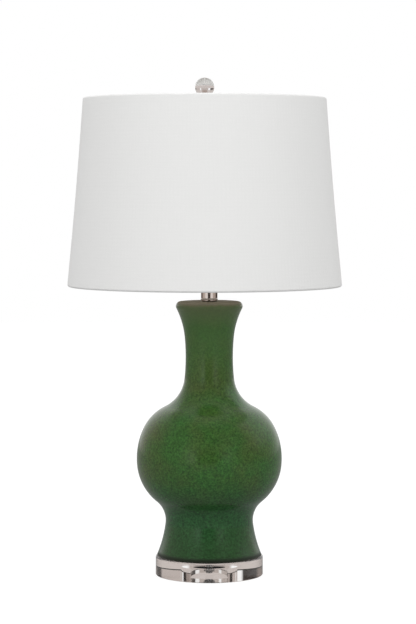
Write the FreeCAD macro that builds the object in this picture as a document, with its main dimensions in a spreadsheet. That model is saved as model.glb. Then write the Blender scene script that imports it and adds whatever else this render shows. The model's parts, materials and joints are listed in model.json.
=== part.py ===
import FreeCAD, Part

import math
import os
import re

import Sketcher
from FreeCAD import Placement, Rotation, Vector

# Table lamp: a glazed vase on a clear disc, with a harp that carries a tapered drum shade.
# Millimetres and degrees. +Z is up, -Y is the front, and the origin is the centre of the
# disc's underside, on the axis of the vase. The shade hangs a little to the left of that axis.

SIZES = {
    "Clear base disc": {
        "base_radius": 79.9,
        "base_height": 28.5,
        "base_top_round": 2.5,
        "base_foot_bevel": 0.8,
        "recess_radius": 28,
        "recess_depth": 14,
    },
    "Hollow rod and what clamps on it": {
        "rod_radius": 4.8,
        "rod_bore_radius": 3.3,
        "rod_foot_height": 4.5,
        "rod_head_reach": 7,
        "rod_clearance": 0.25,
        "nut_corner_radius": 8.25,
        "nut_height": 4.5,
        "lock_washer_radius": 8,
        "lock_washer_height": 1.2,
        "washer_radius": 16,
        "washer_height": 1.5,
    },
    "Gasket under the foot": {
        "gasket_height": 1,
        "gasket_inset": 1.5,
        "gasket_width": 7,
    },
    "Vase outline, heights over its foot": {
        "vase_height": 378,
        "vase_wall": 5.5,
        "foot_floor_height": 3,
        "foot_floor_thickness": 6,
        "foot_radius": 77.8,
        "foot_flare_joint": 5,
        "foot_waist_radius": 65,
        "foot_waist_height": 51.5,
        "belly_radius": 108,
        "belly_height": 144,
        "belly_curve": 105,
        "belly_low_curve": 78,
        "belly_low_joint": 10,
        "belly_high_curve": 67,
        "belly_high_joint": 46,
        "neck_radius": 35.1,
        "neck_below_top": 82.5,
        "neck_curve": 306,
        "shoulder_joint": 32,
        "lip_flare_curve": 120.5,
        "lip_flare_joint": 30,
        "lip_round": 7,
    },
    "Cord bushing in the back of the foot": {
        "bushing_bore_radius": 3.3,
        "bushing_barrel_radius": 5,
        "bushing_flange_radius": 7,
        "bushing_flange_height": 1.6,
        "bushing_seat_depth": 0.7,
        "bushing_tail": 1.5,
        "bushing_clearance": 0.05,
    },
    "Neck": {
        "deck_washer_radius": 11,
        "deck_washer_height": 1,
        "ring_radius": 12.9,
        "ring_height": 4,
        "ring_groove": 0.4,
        "tube_radius": 12.3,
        "tube_wall": 1,
        "tube_height": 24,
        "cap_height": 3,
        "spigot_height": 2.5,
        "spigot_clearance": 0.1,
    },
    "Harp": {
        "saddle_thickness": 1.6,
        "saddle_width": 12,
        "saddle_flat_half": 15,
        "saddle_shelf_height": 9,
        "saddle_shelf_half": 34,
        "saddle_bend": 3,
        "tongue_width": 4,
        "tongue_height": 11,
        "tongue_gap": 0.2,
        "harp_height": 254,
        "harp_leg_spacing": 58,
        "harp_leg_height": 40,
        "harp_bulge_spacing": 106,
        "harp_bulge_low": 84,
        "harp_bulge_high": 178,
        "harp_top_spacing": 30,
        "harp_wire_radius": 1.6,
        "harp_leg_bend": 24,
        "harp_bulge_bend": 60,
        "harp_top_bend": 13,
        "harp_lean": 6.8,
        "harp_foot_gap": 0.06,
        "ferrule_radius": 4.9,
        "ferrule_bore_radius": 3.9,
        "ferrule_height": 14,
        "ferrule_gap": 0.2,
        "seat_radius": 8,
        "seat_height": 2,
        "seat_braze": 0.3,
        "stud_radius": 3.15,
        "stud_height": 12.5,
    },
    "Lampholder": {
        "locknut_height": 3.5,
        "holder_mouth_radius": 13.2,
        "screw_shell_wall": 0.5,
        "screw_shell_height": 23,
        "screw_shell_floor": 0.8,
        "liner_clearance": 0.7,
        "liner_wall": 0.9,
        "shell_clearance": 0.2,
        "shell_wall": 0.7,
        "shell_height": 50,
        "shell_overlap": 4,
        "cap_clearance": 0.15,
        "cap_wall": 0.9,
        "cap_hub_radius": 7.5,
        "cap_hub_height": 7,
        "cap_bowl_height": 15,
        "set_screw_radius": 1.6,
        "set_screw_length": 4,
        "body_waist_radius": 12,
        "body_height": 23,
        "body_rise": 9,
        "terminal_radius": 2.6,
        "terminal_height": 1.6,
        "contact_width": 5,
        "contact_thickness": 0.5,
        "contact_length": 9,
        "contact_rise": 3,
        "contact_well_depth": 3.2,
    },
    "Turn knob": {
        "switch_height": 11,
        "shaft_radius": 2,
        "shaft_length": 27,
        "shaft_inner_end": 3,
        "shaft_clearance": 0.3,
        "knob_radius": 6.5,
        "knob_length": 10,
        "knob_grip": 6,
        "knob_round": 1,
        "knob_clearance": 0.05,
    },
    "Shade": {
        "hub_radius": 8.5,
        "hub_height": 3.2,
        "hub_clearance": 0.25,
        "seat_clearance": 0.1,
        "spider_drop": 10.1,
        "spider_wire_radius": 1.5,
        "spider_bend": 5,
        "spider_weld": 0.3,
        "shade_height": 278.4,
        "shade_top_radius": 179.5,
        "shade_bottom_radius": 203.5,
        "cover_thickness": 0.8,
        "shade_liner_thickness": 0.6,
        "shade_ring_wire_radius": 1.5,
        "trim_tuck": 6,
        "trim_gap": 0.1,
        "arm_slot_clearance": 0.3,
    },
    "Finial": {
        "ball_radius": 14.3,
        "ball_rise": 26.7,
        "finial_clearance": 0.2,
        "finial_flange_radius": 9,
        "finial_flange_height": 3,
        "finial_stem_radius": 5.5,
        "finial_cup_radius": 8,
        "finial_bore_depth": 11.5,
        "thread_clearance": 0.08,
        "finial_pin_radius": 4,
        "finial_pin_height": 11,
        "finial_pin_clearance": 0.1,
        "ball_seat_gap": 0.1,
    },
}

ARM_COUNT = 3
ROLL_BENDS = 6
SAGITTA_ROOM = 0.2

ALIASES = {alias for group in SIZES.values() for alias in group}

# Heights of the stack from the table up, as texts that follow the sheet.
RECESS_TOP = "recess_depth"
VASE_FOOT = "base_height + gasket_height"
DECK = f"{VASE_FOOT} + vase_height"
RING_FOOT = f"{DECK} + deck_washer_height"
TUBE_FOOT = f"{RING_FOOT} + ring_height"
CAP_FOOT = f"{TUBE_FOOT} + tube_height"
SADDLE = f"{CAP_FOOT} + cap_height"
LOCKNUT = f"{SADDLE} + saddle_thickness"
HOLDER = f"{LOCKNUT} + locknut_height"
SHELL_FOOT = f"{HOLDER} + cap_bowl_height - shell_overlap"
BODY_FOOT = f"{HOLDER} + body_rise"
SCREW_SHELL_FOOT = f"{BODY_FOOT} + body_height"
SEAT = f"{SADDLE} + harp_height"
HUB_FOOT = f"{SEAT} + seat_clearance"
RIM_WIRE = f"{HUB_FOOT} + hub_height / 2 + spider_drop"
FINIAL_FOOT = f"{HUB_FOOT} + hub_height + finial_clearance"

# Radii that follow from one another.
ROD_HOLE = "rod_radius + rod_clearance"
LINER_BORE = "holder_mouth_radius + screw_shell_wall + liner_clearance"
LINER_OUTSIDE = f"{LINER_BORE} + liner_wall"
SHELL_BORE = f"{LINER_OUTSIDE} + shell_clearance"
SHELL_OUTSIDE = f"{SHELL_BORE} + shell_wall"
CAP_BORE = f"{SHELL_OUTSIDE} + cap_clearance"
CAP_OUTSIDE = f"{CAP_BORE} + cap_wall"
WRAP = "shade_ring_wire_radius + shade_liner_thickness + trim_gap"
ROLL = f"{WRAP} + cover_thickness"
SHADE_FOOT = f"{RIM_WIRE} + {ROLL} - shade_height"

doc = FreeCAD.newDocument("lamp")
sheet = doc.addObject("Spreadsheet::Sheet", "sizes")


def fill_sheet():
    row = 1
    for group, sizes in SIZES.items():
        sheet.set(f"A{row}", group)
        row += 1
        for alias, value in sizes.items():
            sheet.set(f"A{row}", alias.replace("_", " "))
            sheet.set(f"B{row}", str(value))
            sheet.setAlias(f"B{row}", alias)
            row += 1
    doc.recompute()


def bound(text):
    """The text with each size written the way the document refers to its sheet."""
    return re.sub(r"[a-z][a-z_]*", lambda m: f"sizes.{m[0]}" if m[0] in ALIASES else m[0], text)


def number(text):
    return float(sheet.evalExpression(bound(text)))


def bind(thing, **texts):
    for name, text in texts.items():
        thing.setExpression(name.replace("__", "."), bound(text))


def place(thing, x="0", y="0", z="0"):
    bind(thing, Placement__Base__x=x, Placement__Base__y=y, Placement__Base__z=z)


# ---------------------------------------------------------------- sketches


def new_body(label):
    body = doc.addObject("PartDesign::Body", label)
    body.Label = label
    return body


def new_sketch(body, role, name, height="0"):
    sketch = body.newObject("Sketcher::SketchObject", f"{body.Name}_{name}")
    plane = [feature for feature in body.Origin.OriginFeatures if feature.Role == role][0]
    sketch.AttachmentSupport = (plane, [""])
    sketch.MapMode = "FlatFace"
    bind(sketch, AttachmentOffset__Base__z=height)
    return sketch


def set_coordinate(sketch, kind, axis, geometry, position, text):
    """Hold one coordinate of a point, or put the point on the axis where the text is nought."""
    if text == "0":
        sketch.addConstraint(Sketcher.Constraint("PointOnObject", geometry, position, axis))
        return
    value = number(text)
    row = sketch.addConstraint(Sketcher.Constraint(kind, -1, 1, geometry, position, value))
    sketch.setExpression(f"Constraints[{row}]", bound(text))


def hold_point(sketch, geometry, position, x, y):
    set_coordinate(sketch, "DistanceX", -2, geometry, position, x)
    set_coordinate(sketch, "DistanceY", -1, geometry, position, y)


def hold_radius(sketch, geometry, text):
    row = sketch.addConstraint(Sketcher.Constraint("Radius", geometry, number(text)))
    sketch.setExpression(f"Constraints[{row}]", bound(text))


def add_circle(sketch, x, y, radius):
    circle = Part.Circle(Vector(number(x), number(y), 0), Vector(0, 0, 1), number(radius))
    geometry = sketch.addGeometry(circle)
    hold_radius(sketch, geometry, radius)
    if x == "0" and y == "0":
        sketch.addConstraint(Sketcher.Constraint("Coincident", geometry, 3, -1, 1))
    else:
        hold_point(sketch, geometry, 3, x, y)


def add_outline(sketch, corners, closed=True):
    """Straight runs through the corners. A corner is (x, y), or (x, y, bend) where it is rounded."""
    points = [Vector(number(corner[0]), number(corner[1]), 0) for corner in corners]
    count = len(points)
    runs = count if closed else count - 1
    starts = list(points)
    ends = list(points)
    arcs = {}
    for i, corner in enumerate(corners):
        if len(corner) < 3:
            continue
        back = (points[i - 1] - points[i]).normalize()
        ahead = (points[(i + 1) % count] - points[i]).normalize()
        half = back.getAngle(ahead) / 2
        radius = number(corner[2])
        ends[i] = points[i] + back * (radius / math.tan(half))
        starts[i] = points[i] + ahead * (radius / math.tan(half))
        centre = points[i] + (back + ahead).normalize() * (radius / math.sin(half))
        left_turn = back.cross(ahead).z < 0
        first, last = (ends[i], starts[i]) if left_turn else (starts[i], ends[i])
        angles = [math.atan2(p.y - centre.y, p.x - centre.x) for p in (first, last)]
        circle = Part.Circle(centre, Vector(0, 0, 1), radius)
        arcs[i] = (Part.ArcOfCircle(circle, angles[0], angles[1]), left_turn)
    lines = []
    for i in range(runs):
        j = (i + 1) % count
        lines.append(sketch.addGeometry(Part.LineSegment(starts[i], ends[j])))
    for i, corner in enumerate(corners):
        before = lines[i - 1] if closed or i > 0 else None
        after = lines[i] if i < runs else None
        if i in arcs:
            shape, left_turn = arcs[i]
            arc = sketch.addGeometry(shape)
            entry, leaving = (1, 2) if left_turn else (2, 1)
            sketch.addConstraint(Sketcher.Constraint("Tangent", before, 2, arc, entry))
            sketch.addConstraint(Sketcher.Constraint("Tangent", arc, leaving, after, 1))
            hold_radius(sketch, arc, corner[2])
            tip = sketch.addGeometry(Part.Point(points[i]), True)
            sketch.addConstraint(Sketcher.Constraint("PointOnObject", tip, 1, before))
            sketch.addConstraint(Sketcher.Constraint("PointOnObject", tip, 1, after))
            hold_point(sketch, tip, 1, corner[0], corner[1])
            continue
        if before is not None and after is not None:
            sketch.addConstraint(Sketcher.Constraint("Coincident", before, 2, after, 1))
        end, position = (after, 1) if after is not None else (before, 2)
        hold_point(sketch, end, position, corner[0], corner[1])


# ---------------------------------------------------------------- ways to make a piece


def revolve(body, sketch):
    turned = body.newObject("PartDesign::Revolution", f"{sketch.Name}_turned")
    turned.Profile = sketch
    turned.ReferenceAxis = (sketch, ["V_Axis"])
    turned.Angle = 360
    return turned


def turned_piece(label, corners, x="0", z="0"):
    """A piece turned about its own upright axis: the corners are (radius, height)."""
    body = new_body(label)
    sketch = new_sketch(body, "XZ_Plane", "outline")
    add_outline(sketch, corners)
    revolve(body, sketch)
    place(body, x=x, z=z)
    return body


def ring_piece(label, bore, outside, height, x="0", z="0"):
    corners = [(bore, "0"), (outside, "0"), (outside, height), (bore, height)]
    return turned_piece(label, corners, x, z)


def hexagon_nut(label, height, z):
    blank = doc.addObject("Part::Prism", f"{label}_blank")
    blank.Polygon = 6
    bind(blank, Circumradius="nut_corner_radius", Height=height)
    hole = doc.addObject("Part::Cylinder", f"{label}_hole")
    bind(hole, Radius=ROD_HOLE, Height=height)
    nut = doc.addObject("Part::Cut", label)
    nut.Label = label
    nut.Base = blank
    nut.Tool = hole
    place(nut, z=z)
    return nut


def add_pocket(body, sketch, length=None, reverse=False):
    pocket = body.newObject("PartDesign::Pocket", f"{sketch.Name}_cut")
    pocket.Profile = sketch
    pocket.Reversed = reverse
    if length is None:
        pocket.Type = "ThroughAll"
    else:
        bind(pocket, Length=length)
    return pocket


def add_pad(body, sketch, length, midplane=False, reverse=False):
    pad = body.newObject("PartDesign::Pad", f"{sketch.Name}_pad")
    pad.Profile = sketch
    pad.SideType = "Symmetric" if midplane else "One side"
    pad.Reversed = reverse
    bind(pad, Length=length)
    return pad


# ---------------------------------------------------------------- base and rod


def make_base():
    turned_piece(
        "acrylic_base",
        [
            ("recess_radius", "0"),
            ("base_radius - base_foot_bevel", "0"),
            ("base_radius", "base_foot_bevel"),
            ("base_radius", "base_height", "base_top_round"),
            (ROD_HOLE, "base_height"),
            (ROD_HOLE, RECESS_TOP),
            ("recess_radius", RECESS_TOP),
        ],
    )
    washer_foot = f"{RECESS_TOP} - washer_height"
    lock_washer_foot = f"{washer_foot} - lock_washer_height"
    ring_piece("base_washer", ROD_HOLE, "washer_radius", "washer_height", z=washer_foot)
    ring_piece("base_lock_washer", ROD_HOLE, "lock_washer_radius", "lock_washer_height", z=lock_washer_foot)
    hexagon_nut("base_nut", "nut_height", f"{lock_washer_foot} - nut_height")
    ring_piece(
        "threaded_rod",
        "rod_bore_radius",
        "rod_radius",
        f"{HOLDER} + rod_head_reach - rod_foot_height",
        z="rod_foot_height",
    )
    ring_piece(
        "foot_gasket",
        "foot_radius - gasket_inset - gasket_width",
        "foot_radius - gasket_inset",
        "gasket_height",
        z="base_height",
    )


# ---------------------------------------------------------------- vase


def on_circle(centre, radius, height, side):
    return Vector(centre.x + side * math.sqrt(radius**2 - (height - centre.y) ** 2), height, 0)


def beyond(joint, centre, radius, other):
    """Centre of the circle of radius other that is tangent at the joint to the given circle."""
    return joint + (centre - joint) * (other / radius)


def joining_radius(joint, direction, centre, radius):
    """Radius of the arc that leaves the joint along direction and meets the given circle."""
    gap = joint - centre
    return (gap.dot(gap) - radius**2) / (2 * (radius - gap.dot(direction)))


def reaching_radius(joint, direction, point):
    """Radius of the arc that leaves the joint along direction and passes through the point."""
    gap = joint - point
    return -gap.dot(gap) / (2 * gap.dot(direction))


def vase_arcs():
    """The outline's arcs from foot to lip: (centre, radius, bulges, joint above, radius text)."""
    waist_height = number("foot_waist_height")
    neck_height = number("vase_height - neck_below_top")
    belly_curve = number("belly_curve")
    neck_curve = number("neck_curve")
    low_curve = number("belly_low_curve")
    high_curve = number("belly_high_curve")

    belly = Vector(number("belly_radius - belly_curve"), number("belly_height"), 0)
    low_joint = on_circle(belly, belly_curve, number("belly_height - belly_low_joint"), 1)
    high_joint = on_circle(belly, belly_curve, number("belly_height + belly_high_joint"), 1)
    low = beyond(low_joint, belly, belly_curve, low_curve)
    high = beyond(high_joint, belly, belly_curve, high_curve)

    waist_point = Vector(number("foot_waist_radius"), waist_height, 0)
    waist_curve = joining_radius(waist_point, Vector(1, 0, 0), low, low_curve)
    waist = waist_point + Vector(waist_curve, 0, 0)
    flare_joint = on_circle(waist, waist_curve, number("foot_waist_height - foot_flare_joint"), -1)
    outward = (waist - flare_joint).normalize()
    flare_curve = reaching_radius(flare_joint, outward, Vector(number("foot_radius"), 0, 0))
    flare = flare_joint + outward * flare_curve
    waist_joint = low + (waist - low) * (low_curve / (low_curve + waist_curve))

    neck = Vector(number("neck_radius + neck_curve"), neck_height, 0)
    shoulder_joint = on_circle(neck, neck_curve, neck_height - number("shoulder_joint"), -1)
    inward = (neck - shoulder_joint).normalize()
    shoulder_curve = joining_radius(shoulder_joint, inward, high, high_curve)
    shoulder = shoulder_joint + inward * shoulder_curve
    turn_joint = high + (shoulder - high) * (high_curve / (high_curve + shoulder_curve))
    lip_joint = on_circle(neck, neck_curve, neck_height + number("lip_flare_joint"), -1)
    lip = beyond(lip_joint, neck, neck_curve, number("lip_flare_curve"))
    lip_end = on_circle(lip, number("lip_flare_curve"), number("vase_height"), -1)
    return [
        (flare, flare_curve, False, flare_joint, None),
        (waist, waist_curve, False, waist_joint, None),
        (low, low_curve, True, low_joint, "belly_low_curve"),
        (belly, belly_curve, True, high_joint, "belly_curve"),
        (high, high_curve, True, turn_joint, "belly_high_curve"),
        (shoulder, shoulder_curve, False, shoulder_joint, None),
        (neck, neck_curve, False, lip_joint, "neck_curve"),
        (lip, number("lip_flare_curve"), False, lip_end, "lip_flare_curve"),
    ]


def add_vase_outline(sketch):
    arcs = vase_arcs()
    joint = Vector(number("foot_radius"), 0, 0)
    lines = [
        Part.LineSegment(arcs[-1][3], Vector(0, number("vase_height"), 0)),
        Part.LineSegment(Vector(0, number("vase_height"), 0), Vector(0, 0, 0)),
        Part.LineSegment(Vector(0, 0, 0), joint),
    ]
    ends = []
    for centre, radius, bulges, above, text in arcs:
        first, last = (joint, above) if bulges else (above, joint)
        angles = [math.atan2(p.y - centre.y, p.x - centre.x) for p in (first, last)]
        circle = Part.Circle(centre, Vector(0, 0, 1), radius)
        geometry = sketch.addGeometry(Part.ArcOfCircle(circle, angles[0], angles[1]))
        ends.append((geometry, 1, 2) if bulges else (geometry, 2, 1))
        if text:
            hold_radius(sketch, geometry, text)
        joint = above
    for lower, upper in zip(ends, ends[1:]):
        sketch.addConstraint(Sketcher.Constraint("Tangent", lower[0], lower[2], upper[0], upper[1]))
    top, axis, bottom = [sketch.addGeometry(line) for line in lines]
    sketch.addConstraint(Sketcher.Constraint("Coincident", ends[-1][0], ends[-1][2], top, 1))
    sketch.addConstraint(Sketcher.Constraint("Coincident", top, 2, axis, 1))
    sketch.addConstraint(Sketcher.Constraint("Coincident", axis, 2, bottom, 1))
    sketch.addConstraint(Sketcher.Constraint("Coincident", bottom, 2, ends[0][0], ends[0][1]))
    sketch.addConstraint(Sketcher.Constraint("Coincident", bottom, 1, -1, 1))
    sketch.addConstraint(Sketcher.Constraint("Horizontal", bottom))
    sketch.addConstraint(Sketcher.Constraint("Horizontal", top))
    hold_point(sketch, axis, 1, "0", "vase_height")
    set_coordinate(sketch, "DistanceX", -2, ends[0][0], ends[0][1], "foot_radius")

    flare, waist, low, belly, high, shoulder, neck, lip = [end[0] for end in ends]
    neck_height = "vase_height - neck_below_top"
    hold_point(sketch, belly, 3, "belly_radius - belly_curve", "belly_height")
    hold_point(sketch, neck, 3, "neck_radius + neck_curve", neck_height)
    narrowest = sketch.addGeometry(Part.Point(Vector(number("foot_waist_radius"), arcs[1][0].y, 0)), True)
    hold_point(sketch, narrowest, 1, "foot_waist_radius", "foot_waist_height")
    sketch.addConstraint(Sketcher.Constraint("PointOnObject", narrowest, 1, waist))
    sketch.addConstraint(Sketcher.Constraint("Horizontal", narrowest, 1, waist, 3))
    joint_heights = [
        (flare, 1, "foot_waist_height - foot_flare_joint"),
        (low, 2, "belly_height - belly_low_joint"),
        (belly, 2, "belly_height + belly_high_joint"),
        (shoulder, 1, f"{neck_height} - shoulder_joint"),
        (neck, 1, f"{neck_height} + lip_flare_joint"),
    ]
    for geometry, position, height in joint_heights:
        set_coordinate(sketch, "DistanceY", -1, geometry, position, height)


def flat_face_at(shape, height):
    """Name of the level face of the shape at this height."""
    for index, face in enumerate(shape.Faces, 1):
        level = isinstance(face.Surface, Part.Plane) and abs(face.normalAt(0, 0).z) > 0.999
        if level and abs(face.CenterOfMass.z - height) < 0.01:
            return f"Face{index}"
    raise ValueError(f"no level face at {height}")


def outer_edge_at(shape, height):
    """Name of the widest round edge of the shape at this height."""
    best = None
    for index, edge in enumerate(shape.Edges, 1):
        if not isinstance(edge.Curve, Part.Circle):
            continue
        if abs(edge.Curve.Center.z - height) > 0.01 or abs(edge.Curve.Axis.z) < 0.999:
            continue
        if best is None or edge.Curve.Radius > best[0]:
            best = (edge.Curve.Radius, f"Edge{index}")
    return best[1]


def make_vase():
    body = new_body("vase_body")
    outline = new_sketch(body, "XZ_Plane", "outline")
    add_vase_outline(outline)
    solid = revolve(body, outline)
    doc.recompute()

    shell = body.newObject("PartDesign::Thickness", "vase_shell")
    shell.Base = (solid, [flat_face_at(solid.Shape, 0)])
    shell.Reversed = True
    shell.Join = "Intersection"
    bind(shell, Value="vase_wall")
    doc.recompute()

    lip = body.newObject("PartDesign::Fillet", "vase_lip")
    lip.Base = (shell, [outer_edge_at(shell.Shape, number("vase_height"))])
    bind(lip, Radius="lip_round")
    doc.recompute()

    floor_sketch = new_sketch(body, "XY_Plane", "floor", "foot_floor_height")
    add_circle(floor_sketch, "0", "0", "foot_radius - vase_wall * 0.9")
    add_pad(body, floor_sketch, "foot_floor_thickness")

    hole = new_sketch(body, "XY_Plane", "rod_hole")
    add_circle(hole, "0", "0", ROD_HOLE)
    add_pocket(body, hole, reverse=True)

    reach = "foot_waist_radius"
    seat = new_sketch(body, "XZ_Plane", "bushing_seat", f"-{reach} + bushing_seat_depth")
    add_circle(seat, "0", "foot_waist_height", "bushing_flange_radius + bushing_clearance")
    add_pocket(body, seat, "vase_wall", reverse=False)
    outlet = new_sketch(body, "XZ_Plane", "cord_hole", f"-{reach}")
    add_circle(outlet, "0", "foot_waist_height", "bushing_barrel_radius + bushing_clearance")
    add_pocket(body, outlet, "vase_wall * 2", reverse=True)
    place(body, z=VASE_FOOT)


def make_bushing():
    body = turned_piece(
        "cord_bushing",
        [
            ("bushing_bore_radius", "0"),
            ("bushing_flange_radius", "0"),
            ("bushing_flange_radius", "bushing_flange_height"),
            ("bushing_barrel_radius", "bushing_flange_height"),
            ("bushing_barrel_radius", "bushing_flange_height + vase_wall + bushing_tail"),
            ("bushing_bore_radius", "bushing_flange_height + vase_wall + bushing_tail"),
        ],
    )
    body.Placement = Placement(Vector(0, 0, 0), Rotation(Vector(1, 0, 0), 90))
    place(
        body,
        y="foot_waist_radius - bushing_seat_depth + bushing_flange_height",
        z=f"{VASE_FOOT} + foot_waist_height",
    )


# ---------------------------------------------------------------- neck


def make_neck():
    ring_piece("deck_washer", ROD_HOLE, "deck_washer_radius", "deck_washer_height", z=DECK)
    spigot = "tube_radius - tube_wall - spigot_clearance"
    turned_piece(
        "neck_ring",
        [
            (ROD_HOLE, "0"),
            ("ring_radius", "0"),
            ("ring_radius", "ring_height / 2 - ring_groove"),
            ("ring_radius - ring_groove", "ring_height / 2"),
            ("ring_radius", "ring_height / 2 + ring_groove"),
            ("ring_radius", "ring_height"),
            (spigot, "ring_height"),
            (spigot, "ring_height + spigot_height"),
            (ROD_HOLE, "ring_height + spigot_height"),
        ],
        z=RING_FOOT,
    )
    ring_piece("neck_tube", "tube_radius - tube_wall", "tube_radius", "tube_height", z=TUBE_FOOT)
    turned_piece(
        "neck_cap",
        [
            (ROD_HOLE, "-spigot_height"),
            (spigot, "-spigot_height"),
            (spigot, "0"),
            ("ring_radius", "0"),
            ("ring_radius", "cap_height", "cap_height / 3"),
            (ROD_HOLE, "cap_height"),
        ],
        z=CAP_FOOT,
    )


# ---------------------------------------------------------------- harp


def make_saddle():
    """A strip with a flat middle, two sloping arms and a level shelf at each end."""
    body = new_body("harp_saddle")
    side = new_sketch(body, "YZ_Plane", "side")
    slope_end = "harp_leg_spacing / 2 - ferrule_radius"
    under = [
        ("-saddle_shelf_half", "saddle_shelf_height"),
        (f"-({slope_end})", "saddle_shelf_height", "saddle_bend"),
        ("-saddle_flat_half", "0", "saddle_bend"),
        ("saddle_flat_half", "0", "saddle_bend"),
        (slope_end, "saddle_shelf_height", "saddle_bend"),
        ("saddle_shelf_half", "saddle_shelf_height"),
    ]
    lift = "saddle_thickness"
    over = []
    for x, z, *bend in reversed(under):
        over.append((x, lift if z == "0" else f"{z} + {lift}", *bend))
    add_outline(side, under + over)
    add_pad(body, side, "saddle_width", midplane=True)

    tongues = new_sketch(body, "YZ_Plane", "tongues")
    outer = "harp_leg_spacing / 2 - harp_wire_radius - tongue_gap"
    for sign in ("", "-"):
        left = f"{sign}({outer})"
        right = f"{sign}({outer} - saddle_thickness)"
        low = "saddle_shelf_height"
        high = "saddle_shelf_height + saddle_thickness + tongue_height"
        add_outline(tongues, [(left, low), (left, high), (right, high), (right, low)])
    add_pad(body, tongues, "tongue_width", midplane=True)

    hole = new_sketch(body, "XY_Plane", "rod_hole")
    add_circle(hole, "0", "0", ROD_HOLE)
    add_pocket(body, hole, reverse=True)
    place(body, z=SADDLE)


SHELF_TOP = "saddle_shelf_height + saddle_thickness"
LEAN = "asin(harp_lean / harp_height)"
HARP_TOP = "(harp_height - seat_height - harp_wire_radius + seat_braze) / cos(asin(harp_lean / harp_height))"


def lean(body):
    """Tilt a piece of the harp with it, sideways about the saddle's underside."""
    body.Placement = Placement(Vector(0, 0, 0), Rotation(Vector(0, 1, 0), -1))
    place(body, z=SADDLE)
    bind(body, Placement__Rotation__Angle=f"-{LEAN}")


def make_harp():
    body = new_body("harp")
    path = new_sketch(body, "YZ_Plane", "path")
    half = "harp_leg_spacing / 2"
    side = [
        (half, f"{SHELF_TOP} + harp_foot_gap"),
        (half, f"{SHELF_TOP} + harp_leg_height", "harp_leg_bend"),
        ("harp_bulge_spacing / 2", "harp_bulge_low", "harp_bulge_bend"),
        ("harp_bulge_spacing / 2", "harp_bulge_high", "harp_bulge_bend"),
        ("harp_top_spacing / 2", HARP_TOP, "harp_top_bend"),
    ]
    other = [(f"-{y}", z, *bend) for y, z, *bend in reversed(side)]
    add_outline(path, side + other, closed=False)
    section = new_sketch(body, "XY_Plane", "section", f"{SHELF_TOP} + harp_foot_gap")
    add_circle(section, "0", half, "harp_wire_radius")
    wire = body.newObject("PartDesign::AdditivePipe", "harp_wire")
    wire.Profile = section
    wire.Spine = (path, [])
    lean(body)


def make_ferrules():
    for label, sign in (("front_ferrule", "-"), ("back_ferrule", "")):
        body = new_body(label)
        rims = new_sketch(body, "XY_Plane", "rims", f"{SHELF_TOP} + ferrule_gap")
        across = f"{sign}(harp_leg_spacing / 2 - saddle_thickness / 2)"
        add_circle(rims, "0", across, "ferrule_radius")
        add_circle(rims, "0", across, "ferrule_bore_radius")
        add_pad(body, rims, "ferrule_height")
        lean(body)


def make_stud():
    turned_piece(
        "harp_stud",
        [
            ("0", "-seat_height"),
            ("seat_radius", "-seat_height"),
            ("seat_radius", "0", "seat_height / 4"),
            ("stud_radius", "0"),
            ("stud_radius", "stud_height - stud_radius / 4"),
            ("stud_radius * 3 / 4", "stud_height"),
            ("0", "stud_height"),
        ],
        x="-harp_lean",
        z=SEAT,
    )


# ---------------------------------------------------------------- lampholder


def make_holder():
    hexagon_nut("saddle_nut", "locknut_height", LOCKNUT)
    cap = turned_piece(
        "socket_cap",
        [
            (ROD_HOLE, "0"),
            ("cap_hub_radius", "0"),
            ("cap_hub_radius", "cap_hub_height - cap_wall", "cap_wall"),
            (CAP_OUTSIDE, "cap_hub_height + cap_wall", "cap_wall * 3"),
            (CAP_OUTSIDE, "cap_bowl_height"),
            (CAP_BORE, "cap_bowl_height"),
            (CAP_BORE, "cap_hub_height + cap_wall * 2", "cap_wall * 2"),
            (ROD_HOLE, "cap_hub_height"),
        ],
        z=HOLDER,
    )
    drill = new_sketch(cap, "XZ_Plane", "screw_hole", "0")
    add_circle(drill, "0", "cap_hub_height / 2", "set_screw_radius")
    add_pocket(cap, drill, "cap_hub_radius + cap_wall", reverse=True)

    screw = doc.addObject("Part::Cylinder", "cap_set_screw")
    screw.Label = "cap_set_screw"
    bind(screw, Radius="set_screw_radius - rod_clearance / 2", Height="set_screw_length")
    screw.Placement = Placement(Vector(0, 0, 0), Rotation(Vector(1, 0, 0), 90))
    place(screw, y="-rod_radius", z=f"{HOLDER} + cap_hub_height / 2")

    shell = new_body("socket_shell")
    rims = new_sketch(shell, "XY_Plane", "rims")
    add_circle(rims, "0", "0", SHELL_OUTSIDE)
    add_circle(rims, "0", "0", SHELL_BORE)
    add_pad(shell, rims, "shell_height")
    place(shell, z=SHELL_FOOT)

    liner = new_body("socket_liner")
    rims = new_sketch(liner, "XY_Plane", "rims")
    add_circle(rims, "0", "0", LINER_OUTSIDE)
    add_circle(rims, "0", "0", LINER_BORE)
    add_pad(liner, rims, "shell_height - cap_wall")
    place(liner, z=SHELL_FOOT)

    shaft_height = f"{BODY_FOOT} + switch_height"
    for wall in (shell, liner):
        opening = new_sketch(wall, "YZ_Plane", "knob_slot")
        half = "shaft_radius + shaft_clearance"
        add_outline(
            opening,
            [
                (f"-({half})", "0"),
                (half, "0"),
                (half, f"{shaft_height} + {half} - ({SHELL_FOOT})"),
                (f"-({half})", f"{shaft_height} + {half} - ({SHELL_FOOT})"),
            ],
        )
        add_pocket(wall, opening, f"{SHELL_OUTSIDE} + shell_wall", reverse=True)


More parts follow.
